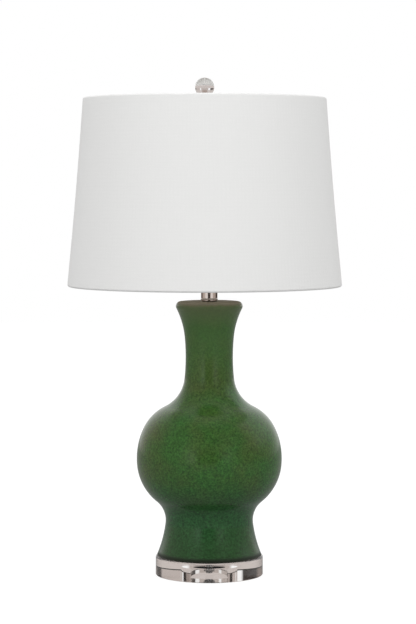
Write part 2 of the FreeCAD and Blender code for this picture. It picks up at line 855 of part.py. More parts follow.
def make_holder_inside():
    body = turned_piece(
        "socket_body",
        [
            ("0", "0"),
            ("body_waist_radius", "0"),
            ("body_waist_radius", "body_height * 3 / 4"),
            (f"{LINER_BORE} - shaft_clearance", "body_height * 3 / 4"),
            (f"{LINER_BORE} - shaft_clearance", "body_height"),
            ("contact_length", "body_height"),
            ("contact_length", "body_height - contact_well_depth"),
            ("0", "body_height - contact_well_depth"),
        ],
        z=BODY_FOOT,
    )
    chamber = new_sketch(body, "YZ_Plane", "switch_chamber")
    add_circle(chamber, "0", "switch_height", "shaft_radius + shaft_clearance")
    add_pocket(body, chamber, f"{SHELL_OUTSIDE}", reverse=True)

    screws = doc.addObject("Part::Compound", "terminal_screws")
    screws.Label = "terminal_screws"
    heads = []
    for name, side in (("front", -1), ("back", 1)):
        head = doc.addObject("Part::Cylinder", f"terminal_{name}")
        bind(head, Radius="terminal_radius", Height="terminal_height")
        head.Placement = Placement(Vector(0, 0, 0), Rotation(Vector(1, 0, 0), -90 * side))
        sign = "" if side > 0 else "-"
        place(head, y=f"{sign}body_waist_radius", z=f"{BODY_FOOT} + switch_height")
        heads.append(head)
    screws.Links = heads

    shell_outside = "holder_mouth_radius + screw_shell_wall"
    turned_piece(
        "screw_shell",
        [
            ("contact_length", "0"),
            (shell_outside, "0"),
            (shell_outside, "screw_shell_height"),
            ("holder_mouth_radius", "screw_shell_height"),
            ("holder_mouth_radius", "screw_shell_floor"),
            ("contact_length", "screw_shell_floor"),
        ],
        z=SCREW_SHELL_FOOT,
    )

    leaf = new_body("centre_contact")
    side = new_sketch(leaf, "XZ_Plane", "side")
    thick = "contact_thickness"
    low = [
        ("-contact_length * 3 / 4", "0"),
        ("-contact_length / 3", "0", "contact_thickness"),
        ("0", "contact_rise", "contact_thickness"),
        ("contact_length / 3", "contact_rise - contact_thickness"),
    ]
    high = []
    for x, z, *bend in reversed(low):
        high.append((x, thick if z == "0" else f"{z} + {thick}", *bend))
    add_outline(side, low + high)
    add_pad(leaf, side, "contact_width", midplane=True)
    place(leaf, z=f"{SCREW_SHELL_FOOT} - contact_well_depth")


def make_switch():
    height = f"{BODY_FOOT} + switch_height"
    shaft = doc.addObject("Part::Cylinder", "switch_shaft")
    shaft.Label = "switch_shaft"
    bind(shaft, Radius="shaft_radius", Height="shaft_length")
    shaft.Placement = Placement(Vector(0, 0, 0), Rotation(Vector(0, 1, 0), 90))
    place(shaft, x="shaft_inner_end", z=height)

    knob = turned_piece(
        "switch_knob",
        [
            ("0", "knob_grip"),
            ("shaft_radius + knob_clearance", "knob_grip"),
            ("shaft_radius + knob_clearance", "0"),
            ("knob_radius * 0.7", "0"),
            ("knob_radius * 0.7", "knob_length / 5"),
            ("knob_radius", "knob_length / 5", "knob_round / 2"),
            ("knob_radius", "knob_length", "knob_round"),
            ("0", "knob_length"),
        ],
    )
    knob.Placement = Placement(Vector(0, 0, 0), Rotation(Vector(0, 1, 0), 90))
    place(knob, x="shaft_inner_end + shaft_length - knob_grip", z=height)


# ---------------------------------------------------------------- shade

TAPER = "(shade_bottom_radius - shade_top_radius) / shade_height"
RING_GAP = f"(trim_gap + shade_ring_wire_radius) * sqrt(1 + pow({TAPER}; 2))"
BOTTOM_RING = ROLL
TOP_RING = f"shade_height - ({ROLL})"


def wall_radius(height, inset="0"):
    """Radius of the shade's wall at a height over its lower rim, this far inside its outer face."""
    return f"shade_bottom_radius - {TAPER} * ({height}) - ({inset})"


def ring_radius(height):
    """Radius of the centre line of a wire ring that lies just inside the wall at this height."""
    return f"{wall_radius(height, 'cover_thickness + shade_liner_thickness')} - {RING_GAP}"


def make_spider():
    body = new_body("shade_spider")
    rims = new_sketch(body, "XY_Plane", "hub")
    add_circle(rims, "0", "0", "hub_radius")
    add_circle(rims, "0", "0", "stud_radius + hub_clearance")
    add_pad(body, rims, "hub_height")

    path = new_sketch(body, "YZ_Plane", "arm_path")
    level = "hub_height / 2"
    start = "(stud_radius + hub_clearance + hub_radius) / 2"
    end = ring_radius(TOP_RING)
    top = f"{level} + spider_drop - shade_ring_wire_radius + spider_weld"
    add_outline(path, [(start, level), (end, level, "spider_bend"), (end, top)], closed=False)
    section = new_sketch(body, "XZ_Plane", "arm_section", f"-{start}")
    add_circle(section, "0", level, "spider_wire_radius")
    arm = body.newObject("PartDesign::AdditivePipe", "spider_arm")
    arm.Profile = section
    arm.Spine = (path, [])
    repeat_round(body, arm, ARM_COUNT)
    place(body, x="-harp_lean", z=HUB_FOOT)


def make_shade():
    layers = [
        ("shade_cover", "0", "cover_thickness"),
        ("shade_liner", "cover_thickness", "cover_thickness + shade_liner_thickness"),
    ]
    for label, outside, inside in layers:
        turned_piece(
            label,
            [
                (wall_radius(BOTTOM_RING, outside), BOTTOM_RING),
                (wall_radius(TOP_RING, outside), TOP_RING),
                (wall_radius(TOP_RING, inside), TOP_RING),
                (wall_radius(BOTTOM_RING, inside), BOTTOM_RING),
            ],
            x="-harp_lean",
            z=SHADE_FOOT,
        )
    rims = [("top", TOP_RING, "-", 180), ("bottom", BOTTOM_RING, "+", 0)]
    for name, height, inward, turn in rims:
        wire = doc.addObject("Part::Torus", f"{name}_ring")
        wire.Label = f"{name}_ring"
        bind(wire, Radius1=ring_radius(height), Radius2="shade_ring_wire_radius")
        place(wire, x="-harp_lean", z=f"{SHADE_FOOT} + {height}")
        make_trim(name, height, inward, turn)


def rolled_corners(centre, radius):
    """The half round under the ring, from its inner side to its outer side, in short bends."""
    step = 180 / ROLL_BENDS
    reach = f"({radius}) / cos({step / 2})"
    corners = []
    for i in range(ROLL_BENDS):
        turn = 180 + step * (i + 0.5)
        x = f"{centre} + {reach} * cos({turn})"
        corners.append((x, f"{reach} * sin({turn})", f"({radius}) * 0.9"))
    return corners


def make_trim(name, height, inward, turn):
    """The cover's cloth rolled round the ring and tucked back against the liner."""
    skin = "cover_thickness"
    centre = ring_radius(height)
    tucked = f"{height} {inward} trim_tuck"
    tip = wall_radius(tucked, "cover_thickness + shade_liner_thickness + trim_gap * 2")
    outside = [(f"{centre} - ({ROLL})", "0"), *rolled_corners(centre, ROLL), (f"{centre} + {ROLL}", "0")]
    inside = [(f"{centre} - ({WRAP})", "0"), *rolled_corners(centre, WRAP), (f"{centre} + {WRAP}", "0")]
    tuck = [(tip, "trim_tuck"), (f"{tip} - {skin}", "trim_tuck")]
    trim = turned_piece(f"{name}_trim", outside + inside[::-1] + tuck)
    if name == "top":
        cut_arm_slots(trim, ring_radius(height))
    trim.Placement = Placement(Vector(0, 0, 0), Rotation(Vector(1, 0, 0), turn))
    place(trim, x="-harp_lean", z=f"{SHADE_FOOT} + {height}")


def repeat_round(body, feature, count):
    """Repeat the feature evenly round the body's upright axis."""
    axis = [datum for datum in body.Origin.OriginFeatures if datum.Role == "Z_Axis"][0]
    pattern = body.newObject("PartDesign::PolarPattern", f"{feature.Name}_round")
    pattern.Originals = [feature]
    pattern.Axis = (axis, [""])
    pattern.Angle = 360
    pattern.Occurrences = count
    body.Tip = pattern


def cut_arm_slots(trim, radius):
    """Slit the tucked cloth where the spider's arms come up to the ring."""
    slot = new_sketch(trim, "XY_Plane", "arm_slot", "shade_ring_wire_radius / 2")
    near = f"-({radius} - 2 * ({ROLL}))"
    far = f"-({radius} + 2 * ({ROLL}))"
    half = "(spider_wire_radius + arm_slot_clearance)"
    add_outline(slot, [(f"-{half}", near), (f"-{half}", far), (half, far), (half, near)])
    repeat_round(trim, add_pocket(trim, slot, "trim_tuck", reverse=True), ARM_COUNT)


# ---------------------------------------------------------------- finial


def make_finial():
    bore = "stud_radius + thread_clearance"
    ball_foot = "ball_rise - ball_radius"
    seat_dip = "ball_rise - sqrt(pow(ball_radius; 2) - pow(finial_cup_radius; 2))"
    pin_dip = "ball_rise - sqrt(pow(ball_radius; 2) - pow(finial_pin_radius; 2))"
    room = f"ball_seat_gap + {SAGITTA_ROOM}"
    turned_piece(
        "finial_base",
        [
            (bore, "0"),
            ("finial_flange_radius", "0"),
            ("finial_flange_radius", "finial_flange_height", "finial_flange_height / 3"),
            ("finial_stem_radius", "finial_flange_height", "finial_flange_height / 3"),
            ("finial_stem_radius", f"{ball_foot} - finial_flange_height", "finial_flange_height / 3"),
            ("finial_cup_radius", f"{ball_foot} - finial_flange_height / 2", "finial_flange_height / 4"),
            ("finial_cup_radius", f"{seat_dip} - ({room})"),
            ("finial_pin_radius", f"{pin_dip} - ({room})"),
            ("finial_pin_radius", f"{ball_foot} + finial_pin_height"),
            ("0", f"{ball_foot} + finial_pin_height"),
            ("0", "finial_bore_depth"),
            (bore, "finial_bore_depth"),
        ],
        x="-harp_lean",
        z=FINIAL_FOOT,
    )
    sphere = doc.addObject("Part::Sphere", "finial_sphere")
    bind(sphere, Radius="ball_radius")
    bore_tool = doc.addObject("Part::Cylinder", "finial_ball_bore")
    bind(
        bore_tool,
        Radius="finial_pin_radius + finial_pin_clearance",
        Height="finial_pin_height + finial_pin_clearance + ball_radius",
    )
    place(bore_tool, z="-2 * ball_radius")
    ball = doc.addObject("Part::Cut", "finial_ball")
    ball.Label = "finial_ball"
    ball.Base = sphere
    ball.Tool = bore_tool
    place(ball, x="-harp_lean", z=f"{FINIAL_FOOT} + ball_rise")


# ---------------------------------------------------------------- whole lamp

NODES = [
    "acrylic_base",
    "base_washer",
    "base_lock_washer",
    "base_nut",
    "threaded_rod",
    "foot_gasket",
    "vase_body",
    "cord_bushing",
    "deck_washer",
    "neck_ring",
    "neck_tube",
    "neck_cap",
    "harp_saddle",
    "harp",
    "front_ferrule",
    "back_ferrule",
    "harp_stud",
    "saddle_nut",
    "socket_cap",
    "cap_set_screw",
    "socket_shell",
    "socket_liner",
    "socket_body",
    "terminal_screws",
    "screw_shell",
    "centre_contact",
    "switch_shaft",
    "switch_knob",
    "shade_spider",
    "shade_cover",
    "shade_liner",
    "top_ring",
    "bottom_ring",
    "top_trim",
    "bottom_trim",
    "finial_base",
    "finial_ball",
]


def check_document():
    for thing in doc.Objects:
        faults = [state for state in thing.State if state in ("Invalid", "Error")]
        if faults:
            raise RuntimeError(f"{thing.Label}: {faults}")
    for node in NODES:
        shape = doc.getObjectsByLabel(node)[0].Shape
        if shape.isNull() or not shape.isValid() or not shape.Solids:
            raise RuntimeError(f"{node} has no sound solid")


def write_parts():
    os.makedirs("parts", exist_ok=True)
    for node in NODES:
        doc.getObjectsByLabel(node)[0].Shape.exportStep(f"parts/{node}.step")


fill_sheet()
make_base()
make_vase()
make_bushing()
make_neck()
make_saddle()
make_harp()
make_ferrules()
make_stud()
make_holder()
make_holder_inside()
make_switch()
make_spider()
make_shade()
make_finial()
doc.recompute()
check_document()
write_parts()
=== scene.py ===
import json
import math

import bmesh
import bpy
from bpy.props import FloatProperty, FloatVectorProperty, IntProperty, PointerProperty
from mathutils import Matrix, Vector, noise


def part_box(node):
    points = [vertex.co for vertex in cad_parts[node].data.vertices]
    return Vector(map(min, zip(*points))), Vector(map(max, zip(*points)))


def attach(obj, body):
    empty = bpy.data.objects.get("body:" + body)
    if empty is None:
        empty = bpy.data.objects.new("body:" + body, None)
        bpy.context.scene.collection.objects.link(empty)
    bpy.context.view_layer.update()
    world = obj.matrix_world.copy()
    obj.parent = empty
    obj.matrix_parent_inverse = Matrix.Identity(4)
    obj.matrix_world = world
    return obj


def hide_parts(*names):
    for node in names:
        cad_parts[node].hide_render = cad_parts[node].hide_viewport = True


bl_info = {
    "name": "Vase Lamp",
    "version": (1, 0, 0),
    "blender": (4, 5, 0),
    "location": "View3D > Sidebar > Lamp",
    "description": "A glazed vase lamp on a clear disc, with harp, lampholder, drum shade and finial",
    "category": "Add Mesh",
}

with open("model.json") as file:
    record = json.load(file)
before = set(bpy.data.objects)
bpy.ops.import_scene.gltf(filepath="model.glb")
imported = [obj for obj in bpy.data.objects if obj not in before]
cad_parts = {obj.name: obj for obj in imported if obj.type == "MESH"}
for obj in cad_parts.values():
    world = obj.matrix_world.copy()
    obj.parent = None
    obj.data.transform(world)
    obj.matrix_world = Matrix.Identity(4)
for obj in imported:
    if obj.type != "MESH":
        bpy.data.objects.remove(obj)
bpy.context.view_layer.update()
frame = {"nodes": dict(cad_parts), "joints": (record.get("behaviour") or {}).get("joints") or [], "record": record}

MM = 0.001
TURN = 2 * math.pi
UP = Vector((0, 0, 1))
# A wave texture at a scale of 1 repeats after this many metres.
WAVE = TURN / 20


def linear(hex_colour):
    """Turn an sRGB hex colour into the linear red, green and blue that Blender works in."""
    parts = [int(hex_colour[i : i + 2], 16) / 255 for i in (1, 3, 5)]
    return [c / 12.92 if c <= 0.04045 else ((c + 0.055) / 1.055) ** 2.4 for c in parts]


def as_colour(value):
    """The red, green and blue with the alpha that a colour socket takes."""
    return (*value, 1)


# ------------------------------------------------------------ sizes and colours


def amount(name, default, description, **more):
    return FloatProperty(name=name, default=default, min=0, description=description, **more)


def length(name, default, description):
    return amount(name, default, description, unit="LENGTH")


def colour(name, hex_colour, description):
    return FloatVectorProperty(
        name=name, default=linear(hex_colour), min=0, max=1, subtype="COLOR", description=description
    )


class LampDetails(bpy.types.PropertyGroup):
    rod_pitch: length("Rod thread pitch", 0.94 * MM, "Rise of one turn of the hollow rod's thread")
    rod_depth: length("Rod thread depth", 0.15 * MM, "How deep the hollow rod's thread is cut")
    rod_foot: length("Threaded foot", 16 * MM, "How far the thread goes up from the rod's foot")
    rod_head: length("Threaded head", 10 * MM, "How far the thread goes down from the rod's head")
    stud_pitch: length("Stud thread pitch", 0.94 * MM, "Rise of one turn of the harp stud's thread")
    stud_depth: length("Stud thread depth", 0.14 * MM, "How deep the harp stud's thread is cut")
    shell_pitch: length("Holder thread pitch", 3.62 * MM, "Rise of one turn of the holder's thread")
    shell_wave: length("Holder thread depth", 0.9 * MM, "How deep the holder's thread is rolled")
    nut_chamfer: length("Nut chamfer", 0.55 * MM, "How far the chamfer comes in from the flats")
    knob_flutes: IntProperty(
        name="Knob flutes", default=18, min=6, description="Grooves round the turn knob"
    )
    flute_depth: length("Flute depth", 0.45 * MM, "How deep the knob's grooves are")
    ferrule_bead: length("Ferrule bead", 0.5 * MM, "How far the ferrules' rolled ends stand out")
    shell_bead: length("Shell bead", 0.6 * MM, "How far the bead at the holder's mouth stands out")
    cloth_wall: length("Cloth thickness", 0.75 * MM, "Thickness of the shade's laminated cloth")
    liner_wall: length("Liner thickness", 0.55 * MM, "Thickness of the sheet behind the cloth")
    seam_lap: length("Seam lap", 11 * MM, "How far the shade's cloth overlaps itself at the back")
    seam_rise: length("Seam rise", 0.7 * MM, "How far the overlapping cloth stands out")
    waist: length("Shade waist", 1.2 * MM, "How far the wall draws in between its two rings")
    cloth_wave: length("Cloth unevenness", 0.2 * MM, "How far the cloth wanders from a true cone")


class LampColours(bpy.types.PropertyGroup):
    glaze: colour("Glaze", "#2E5922", "The deep green where the glaze is thick")
    # Painted shade: the darker, bluer green that stands for the shade below the belly.
    painted_shade_below_belly: colour("Cool glaze", "#23502A", "The bluer green where the glaze has run down")
    glaze_warm: colour("Warm glaze", "#405325", "The brown-green where the glaze is thin")
    glaze_thin: colour("Thin glaze", "#446B32", "The lighter green of the neck, over pale clay")
    # The bare rim's brown, lightened to paint the highlight along the lip.
    lip_band_and_highlight: colour("Bare lip", "#7A715C", "The brown of the rim, where the glaze drew back")
    # The specks' own dark green, which also paints the shade on the foot and the shadow line at its edge.
    specks_and_foot_shade: colour("Glaze speck", "#1F3A1C", "The dark specks in the glaze")
    cloth: colour("Shade cloth", "#E8E8E7", "The off-white linen of the shade")
    nickel: colour("Nickel", "#D8CDC6", "The polished nickel of the neck, holder and finial")


class LampStage(bpy.types.PropertyGroup):
    sky: amount("Sky", 0.83, "Strength of the even light from all round")
    front_lamps: amount("Front lamps", 14.4, "Power of each lamp beside the camera", unit="POWER")
    top_lamp: amount("Top lamp", 8, "Power of the soft lamp above", unit="POWER")
    shadow: amount("Shadow", 0.40, "How much of the floor's own shade the camera sees", max=1)
    floor_white: amount("Floor white", 1.52, "How bright the floor looks to the camera")
    floor_radius: length("Floor radius", 6.0, "Radius of the pale floor")
    camera_lens: amount("Lens", 126.63, "Focal length in millimetres on a 36 mm frame")
    camera_pitch: amount(
        "Camera pitch", math.radians(3.306), "How far the camera looks down", unit="ROTATION"
    )
    camera_place: FloatVectorProperty(
        name="Camera place",
        default=(-0.0019, -3.25185, 0.5794),
        subtype="TRANSLATION",
        description="Where the camera stands",
    )


# ------------------------------------------------------------ mesh tools


def turned(profile, steps=96):
    """Turn a closed profile of (radius, height) points about the upright axis."""
    bm = bmesh.new()
    points = [bm.verts.new((radius, 0, height)) for radius, height in profile]
    edges = [bm.edges.new(pair) for pair in zip(points, points[1:] + points[:1])]
    bmesh.ops.spin(
        bm, geom=points + edges, cent=(0, 0, 0), axis=UP, angle=TURN, steps=steps, use_merge=True
    )
    bmesh.ops.remove_doubles(bm, verts=bm.verts, dist=1e-7)
    bmesh.ops.recalc_face_normals(bm, faces=bm.faces)
    return bm


def lofted(rings, count):
    """Join rings of points round the upright axis. A ring gives (radius, height) for an angle."""
    bm = bmesh.new()
    first = bmesh.ops.create_circle(bm, segments=count, radius=1)["verts"]
    edges = list(bm.edges)
    layers = [first]
    for _ in rings[1:]:
        made = bmesh.ops.extrude_edge_only(bm, edges=edges)["geom"]
        layers.append([item for item in made if isinstance(item, bmesh.types.BMVert)])
        fresh = set(layers[-1])
        edges = [
            item
            for item in made
            if isinstance(item, bmesh.types.BMEdge) and all(vert in fresh for vert in item.verts)
        ]
    for ring, verts in zip(rings, layers):
        for vert in verts:
            angle = math.atan2(vert.co.y, vert.co.x)
            radius, height = ring(angle)
            vert.co = (radius * math.cos(angle), radius * math.sin(angle), height)
    return bm


def swept_thread(radius, depth, pitch, low, high):
    """A closed bar of triangular section that winds up a rod as its thread."""
    steps = 24
    bm = bmesh.new()
    inside, half = radius - 0.1 * MM, pitch * 0.48
    section = [(inside, -half), (radius + depth, 0), (inside, half)]
    points = [bm.verts.new((r, 0, low + pitch / 2 + h)) for r, h in section]
    start = bm.faces.new(points)
    turns = (high - low - pitch) / pitch
    count = int(turns * steps)
    end = bmesh.ops.spin(
        bm,
        geom=points + list(bm.edges),
        cent=(0, 0, 0),
        axis=UP,
        angle=TURN * count / steps,
        dvec=(0, 0, pitch / steps),
        steps=count,
    )["geom_last"]
    bm.faces.new([item for item in end if isinstance(item, bmesh.types.BMVert)])
    start.normal_update()
    bmesh.ops.recalc_face_normals(bm, faces=bm.faces)
    return bm


def arc(centre, radius, start, stop, count):
    """Points of an arc in a profile, from one angle in degrees to another."""
    angles = [math.radians(start + (stop - start) * i / count) for i in range(count + 1)]
    return [(centre[0] + radius * math.cos(a), centre[1] + radius * math.sin(a)) for a in angles]


def add_piece(name, bm, material, body, replaces=(), sharp=35):
    """Make an object of the bmesh, ride it on its body and hide the CAD parts that it stands for."""
    mesh = bpy.data.meshes.new(name)
    bm.to_mesh(mesh)
    bm.free()
    mesh.materials.append(material)
    mesh.shade_smooth()
    mesh.set_sharp_from_angle(angle=math.radians(sharp))
    piece = bpy.data.objects.new(name, mesh)
    bpy.context.scene.collection.objects.link(piece)
    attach(piece, body)
    if replaces:
        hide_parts(*replaces)
    return piece


def dress(slot, material):
    """Give the material to each CAD node that the record puts in this slot."""
    for part in frame["record"]["subparts"]:
        if part["material_slot"] == slot:
            mesh = frame["nodes"][part["node"]].data
            mesh.materials.clear()
            mesh.materials.append(material)


# ------------------------------------------------------------ materials


def new_material(name, **inputs):
    """A material and its shader, with the shader's own sockets set."""
    material = bpy.data.materials.new(name)
    material.use_nodes = True
    shader = material.node_tree.nodes["Principled BSDF"]
    for socket, value in inputs.items():
        shader.inputs[socket.replace("_", " ")].default_value = value
    return material, shader


def add_node(tree, kind, inputs=None, stops=None, **settings):
    """Add one node. An input's value may be another node's socket, and stops are a ramp's."""
    node = tree.nodes.new("ShaderNode" + kind)
    for name, value in settings.items():
        setattr(node, name, value)
    for key, value in (inputs or {}).items():
        if isinstance(value, bpy.types.NodeSocket):
            tree.links.new(value, node.inputs[key])
        else:
            node.inputs[key].default_value = value
    if stops:
        ramp = node.color_ramp.elements
        while len(ramp) < len(stops):
            ramp.new(0.5)
        for element, (place, shade) in zip(ramp, stops):
            element.position = place
            element.color = as_colour(shade)
    return node


def glazed_stoneware(colours):
    """Reactive glaze over a thrown stoneware body: glossy, clouded, finely specked, with painted shade low down
    and a painted highlight on the lip.
    """
    material, shader = new_material("reactive glaze on thrown stoneware", IOR=1.44)
    tree = material.node_tree
    place = add_node(tree, "TexCoord").outputs["Object"]
    height = add_node(tree, "SeparateXYZ", {"Vector": place}).outputs["Z"]
    # Clouds of browner glaze some 60 mm across, where it lies thinner.
    clouds = add_node(
        tree, "TexNoise", {"Vector": place, "Scale": 1 / (60 * MM), "Detail": 3.0, "Roughness": 0.55}
    ).outputs[0]
    # Mottle about 3 mm across, where crystals grew in the glaze as it cooled.
    mottle = add_node(
        tree, "TexNoise", {"Vector": place, "Scale": 1 / (3 * MM), "Detail": 4.0, "Roughness": 0.7}
    ).outputs[0]
    # Iron specks, drawn about 2.4 mm apart because the real ones are too fine to show.
    specks = add_node(
        tree, "TexVoronoi", {"Vector": place, "Scale": 1 / (2.4 * MM), "Randomness": 1.0}
    ).outputs["Distance"]
    # The height, shifted by up to 6 mm, so that the edge round the rim is uneven.
    waver = add_node(tree, "TexNoise", {"Vector": place, "Scale": 1 / (12 * MM), "Detail": 3.0})
    edge = add_node(
        tree, "Math", {0: waver.outputs[0], 1: 6 * MM, 2: height}, operation="MULTIPLY_ADD"
    ).outputs[0]

    # The layers over the deep green. Each follows a height in metres or a pattern from where
    # it starts to where it is full, and has its share there, its way of fading in and its colour.
    # The mottle scales what lies under the specks.
    under = (
        (clouds, 0.38, 0.66, 1.0, "LINEAR", colours.glaze_warm),
        # Painted shade below the belly: a darker, bluer green that fades in from 165 mm down and is fullest from
        # 95 mm down.
        (height, 0.165, 0.095, 0.9, "SMOOTHSTEP", colours.painted_shade_below_belly),
    )
    over = (
        (specks, 0.34, 0.16, 0.60, "LINEAR", colours.specks_and_foot_shade),
        # On the neck it is thin, so the pale clay lightens it.
        (height, 0.250, 0.400, 0.7, "SMOOTHSTEP", colours.glaze_thin),
        # It draws back from the rim and leaves a brown band, which is lightened as a painted highlight along the
        # lip.
        (edge, 0.372, 0.405, 0.35, "LINEAR", colours.lip_band_and_highlight),
        (edge, 0.4035, 0.4095, 1.0, "SMOOTHSTEP", colours.lip_band_and_highlight),
        # Painted shade darkens the foot from 90 mm down, and a painted shadow makes a nearly black line at its
        # lower edge.
        (height, 0.090, 0.040, 0.4, "LINEAR", colours.specks_and_foot_shade),
        (height, 0.0365, 0.0320, 0.95, "LINEAR", [0.3 * c for c in colours.specks_and_foot_shade]),
    )
    lighter = add_node(
        tree,
        "MapRange",
        {"Value": mottle, "From Min": 0.35, "From Max": 0.65, "To Min": 0.52, "To Max": 1.48},
    ).outputs[0]
    body = as_colour(colours.glaze)
    for layers, scale in ((under, lighter), (over, None)):
        for source, start, full, most, fade, tone in layers:
            share = add_node(
                tree,
                "MapRange",
                {"Value": source, "From Min": start, "From Max": full, "To Max": most},
                interpolation_type=fade,
            ).outputs[0]
            body = add_node(
                tree, "Mix", {0: share, 6: body, 7: as_colour(tone)}, data_type="RGBA"
            ).outputs[2]
        if scale:
            body = add_node(tree, "VectorMath", {0: body, 3: scale}, operation="SCALE").outputs[0]
    tree.links.new(body, shader.inputs["Base Color"])

    rough = add_node(
        tree,
        "MapRange",
        {"Value": mottle, "From Min": 0.3, "From Max": 0.7, "To Min": 0.17, "To Max": 0.25},
    ).outputs[0]
    # The flat top of the lip is bare clay, which has no gloss.
    deck = add_node(
        tree, "MapRange", {"Value": height, "From Min": 0.4052, "From Max": 0.4070, "To Max": 0.55}
    ).outputs[0]
    dull = add_node(tree, "Math", {0: rough, 1: deck}, operation="ADD").outputs[0]
    # The last share is that of the painted shadow line at the foot, which is dull too.
    dull = add_node(tree, "Math", {0: share, 1: 0.35, 2: dull}, operation="MULTIPLY_ADD").outputs[0]
    tree.links.new(dull, shader.inputs["Roughness"])
    # Orange peel of the glaze, on the slow swell of some 88 mm that the potter's hands left.
    swell = add_node(
        tree,
        "TexWave",
        {"Vector": place, "Scale": WAVE / (87.96 * MM), "Distortion": 1.5, "Detail": 1.0},
        bands_direction="Z",
    )
    relief = add_node(
        tree, "Math", {0: swell.outputs["Fac"], 1: 0.6, 2: mottle}, operation="MULTIPLY_ADD"
    )
    bump = add_node(tree, "Bump", {"Height": relief.outputs[0], "Distance": 0.05 * MM})
    tree.links.new(bump.outputs[0], shader.inputs["Normal"])
    return material


def polished_nickel(colours):
    """Bright nickel plate, buffed round the tube, with faint hand marks."""
    material, shader = new_material(
        "polished nickel plate", Metallic=1.0, Base_Color=as_colour(colours.nickel)
    )
    tree = material.node_tree
    place = add_node(tree, "TexCoord").outputs["Object"]
    marks = add_node(tree, "TexNoise", {"Vector": place, "Scale": 1 / (9 * MM), "Detail": 3.0})
    rough = add_node(
        tree,
        "MapRange",
        {"Value": marks.outputs[0], "From Min": 0.3, "From Max": 0.7, "To Min": 0.05, "To Max": 0.11},
    )
    tree.links.new(rough.outputs[0], shader.inputs["Roughness"])
    # The mop's lines run round, so the pattern is squashed twelve times along the height.
    squashed = add_node(tree, "Mapping", {"Vector": place, "Scale": (1, 1, 12)})
    buffing = add_node(
        tree, "TexNoise", {"Vector": squashed.outputs[0], "Scale": 1 / (4 * MM), "Detail": 2.0}
    )
    bump = add_node(tree, "Bump", {"Height": buffing.outputs[0], "Distance": 0.004 * MM})
    tree.links.new(bump.outputs[0], shader.inputs["Normal"])
    return material


def grained(name, hex_colour, rough, spread, tint, grain, depth, stretch=(1, 1, 1), **inputs):
    """A finish whose colour and gloss wander with the grain that its making left."""
    material, shader = new_material(name, **inputs)
    tree = material.node_tree
    place = add_node(tree, "TexCoord").outputs["Object"]
    drawn = add_node(tree, "Mapping", {"Vector": place, "Scale": stretch}).outputs[0]
    lines = add_node(
        tree, "TexNoise", {"Vector": drawn, "Scale": 1 / grain, "Detail": 4.0, "Roughness": 0.6}
    ).outputs[0]
    dark, light = (
        as_colour([min(1, c * (1 + change)) for c in linear(hex_colour)]) for change in (-tint, tint)
    )
    stained = add_node(tree, "Mix", {0: lines, 6: dark, 7: light}, data_type="RGBA")
    tree.links.new(stained.outputs[2], shader.inputs["Base Color"])
    least, most = (rough * share for share in spread)
    uneven = add_node(
        tree,
        "MapRange",
        {"Value": lines, "From Min": 0.3, "From Max": 0.7, "To Min": least, "To Max": most},
    )
    tree.links.new(uneven.outputs[0], shader.inputs["Roughness"])
    bump = add_node(tree, "Bump", {"Height": lines, "Distance": depth})
    tree.links.new(bump.outputs[0], shader.inputs["Normal"])
    return material


def plain_metal(name, hex_colour, rough, grain, stretch=(1, 1, 1)):
    """Plated, drawn, stamped or rolled metal, whose grain runs the way it was worked."""
    return grained(
        name, hex_colour, rough, (0.75, 1.3), 0.12, grain, 0.01 * MM, stretch, Metallic=1.0
    )


def plain_plastic(name, hex_colour, rough, grain, depth, tint=0.08):
    """A moulded or sheet material with a fine skin."""
    return grained(name, hex_colour, rough, (0.85, 1.15), tint, grain, depth, IOR=1.5)


def clear_solid(name, hex_colour, ior, rough):
    """A clear solid with polished faces: faint wipe marks are all that shows on it."""
    material, shader = new_material(
        name, Base_Color=as_colour(linear(hex_colour)), IOR=ior, Transmission_Weight=1.0
    )
    tree = material.node_tree
    place = add_node(tree, "TexCoord").outputs["Object"]
    wiped = add_node(tree, "Mapping", {"Vector": place, "Scale": (1, 1, 4)})
    marks = add_node(
        tree, "TexNoise", {"Vector": wiped.outputs[0], "Scale": 1 / (20 * MM), "Detail": 3.0}
    )
    uneven = add_node(
        tree,
        "MapRange",
        {"Value": marks.outputs[0], "From Min": 0.45, "From Max": 0.75, "To Min": 0.0, "To Max": rough},
    )
    tree.links.new(uneven.outputs[0], shader.inputs["Roughness"])
    return material


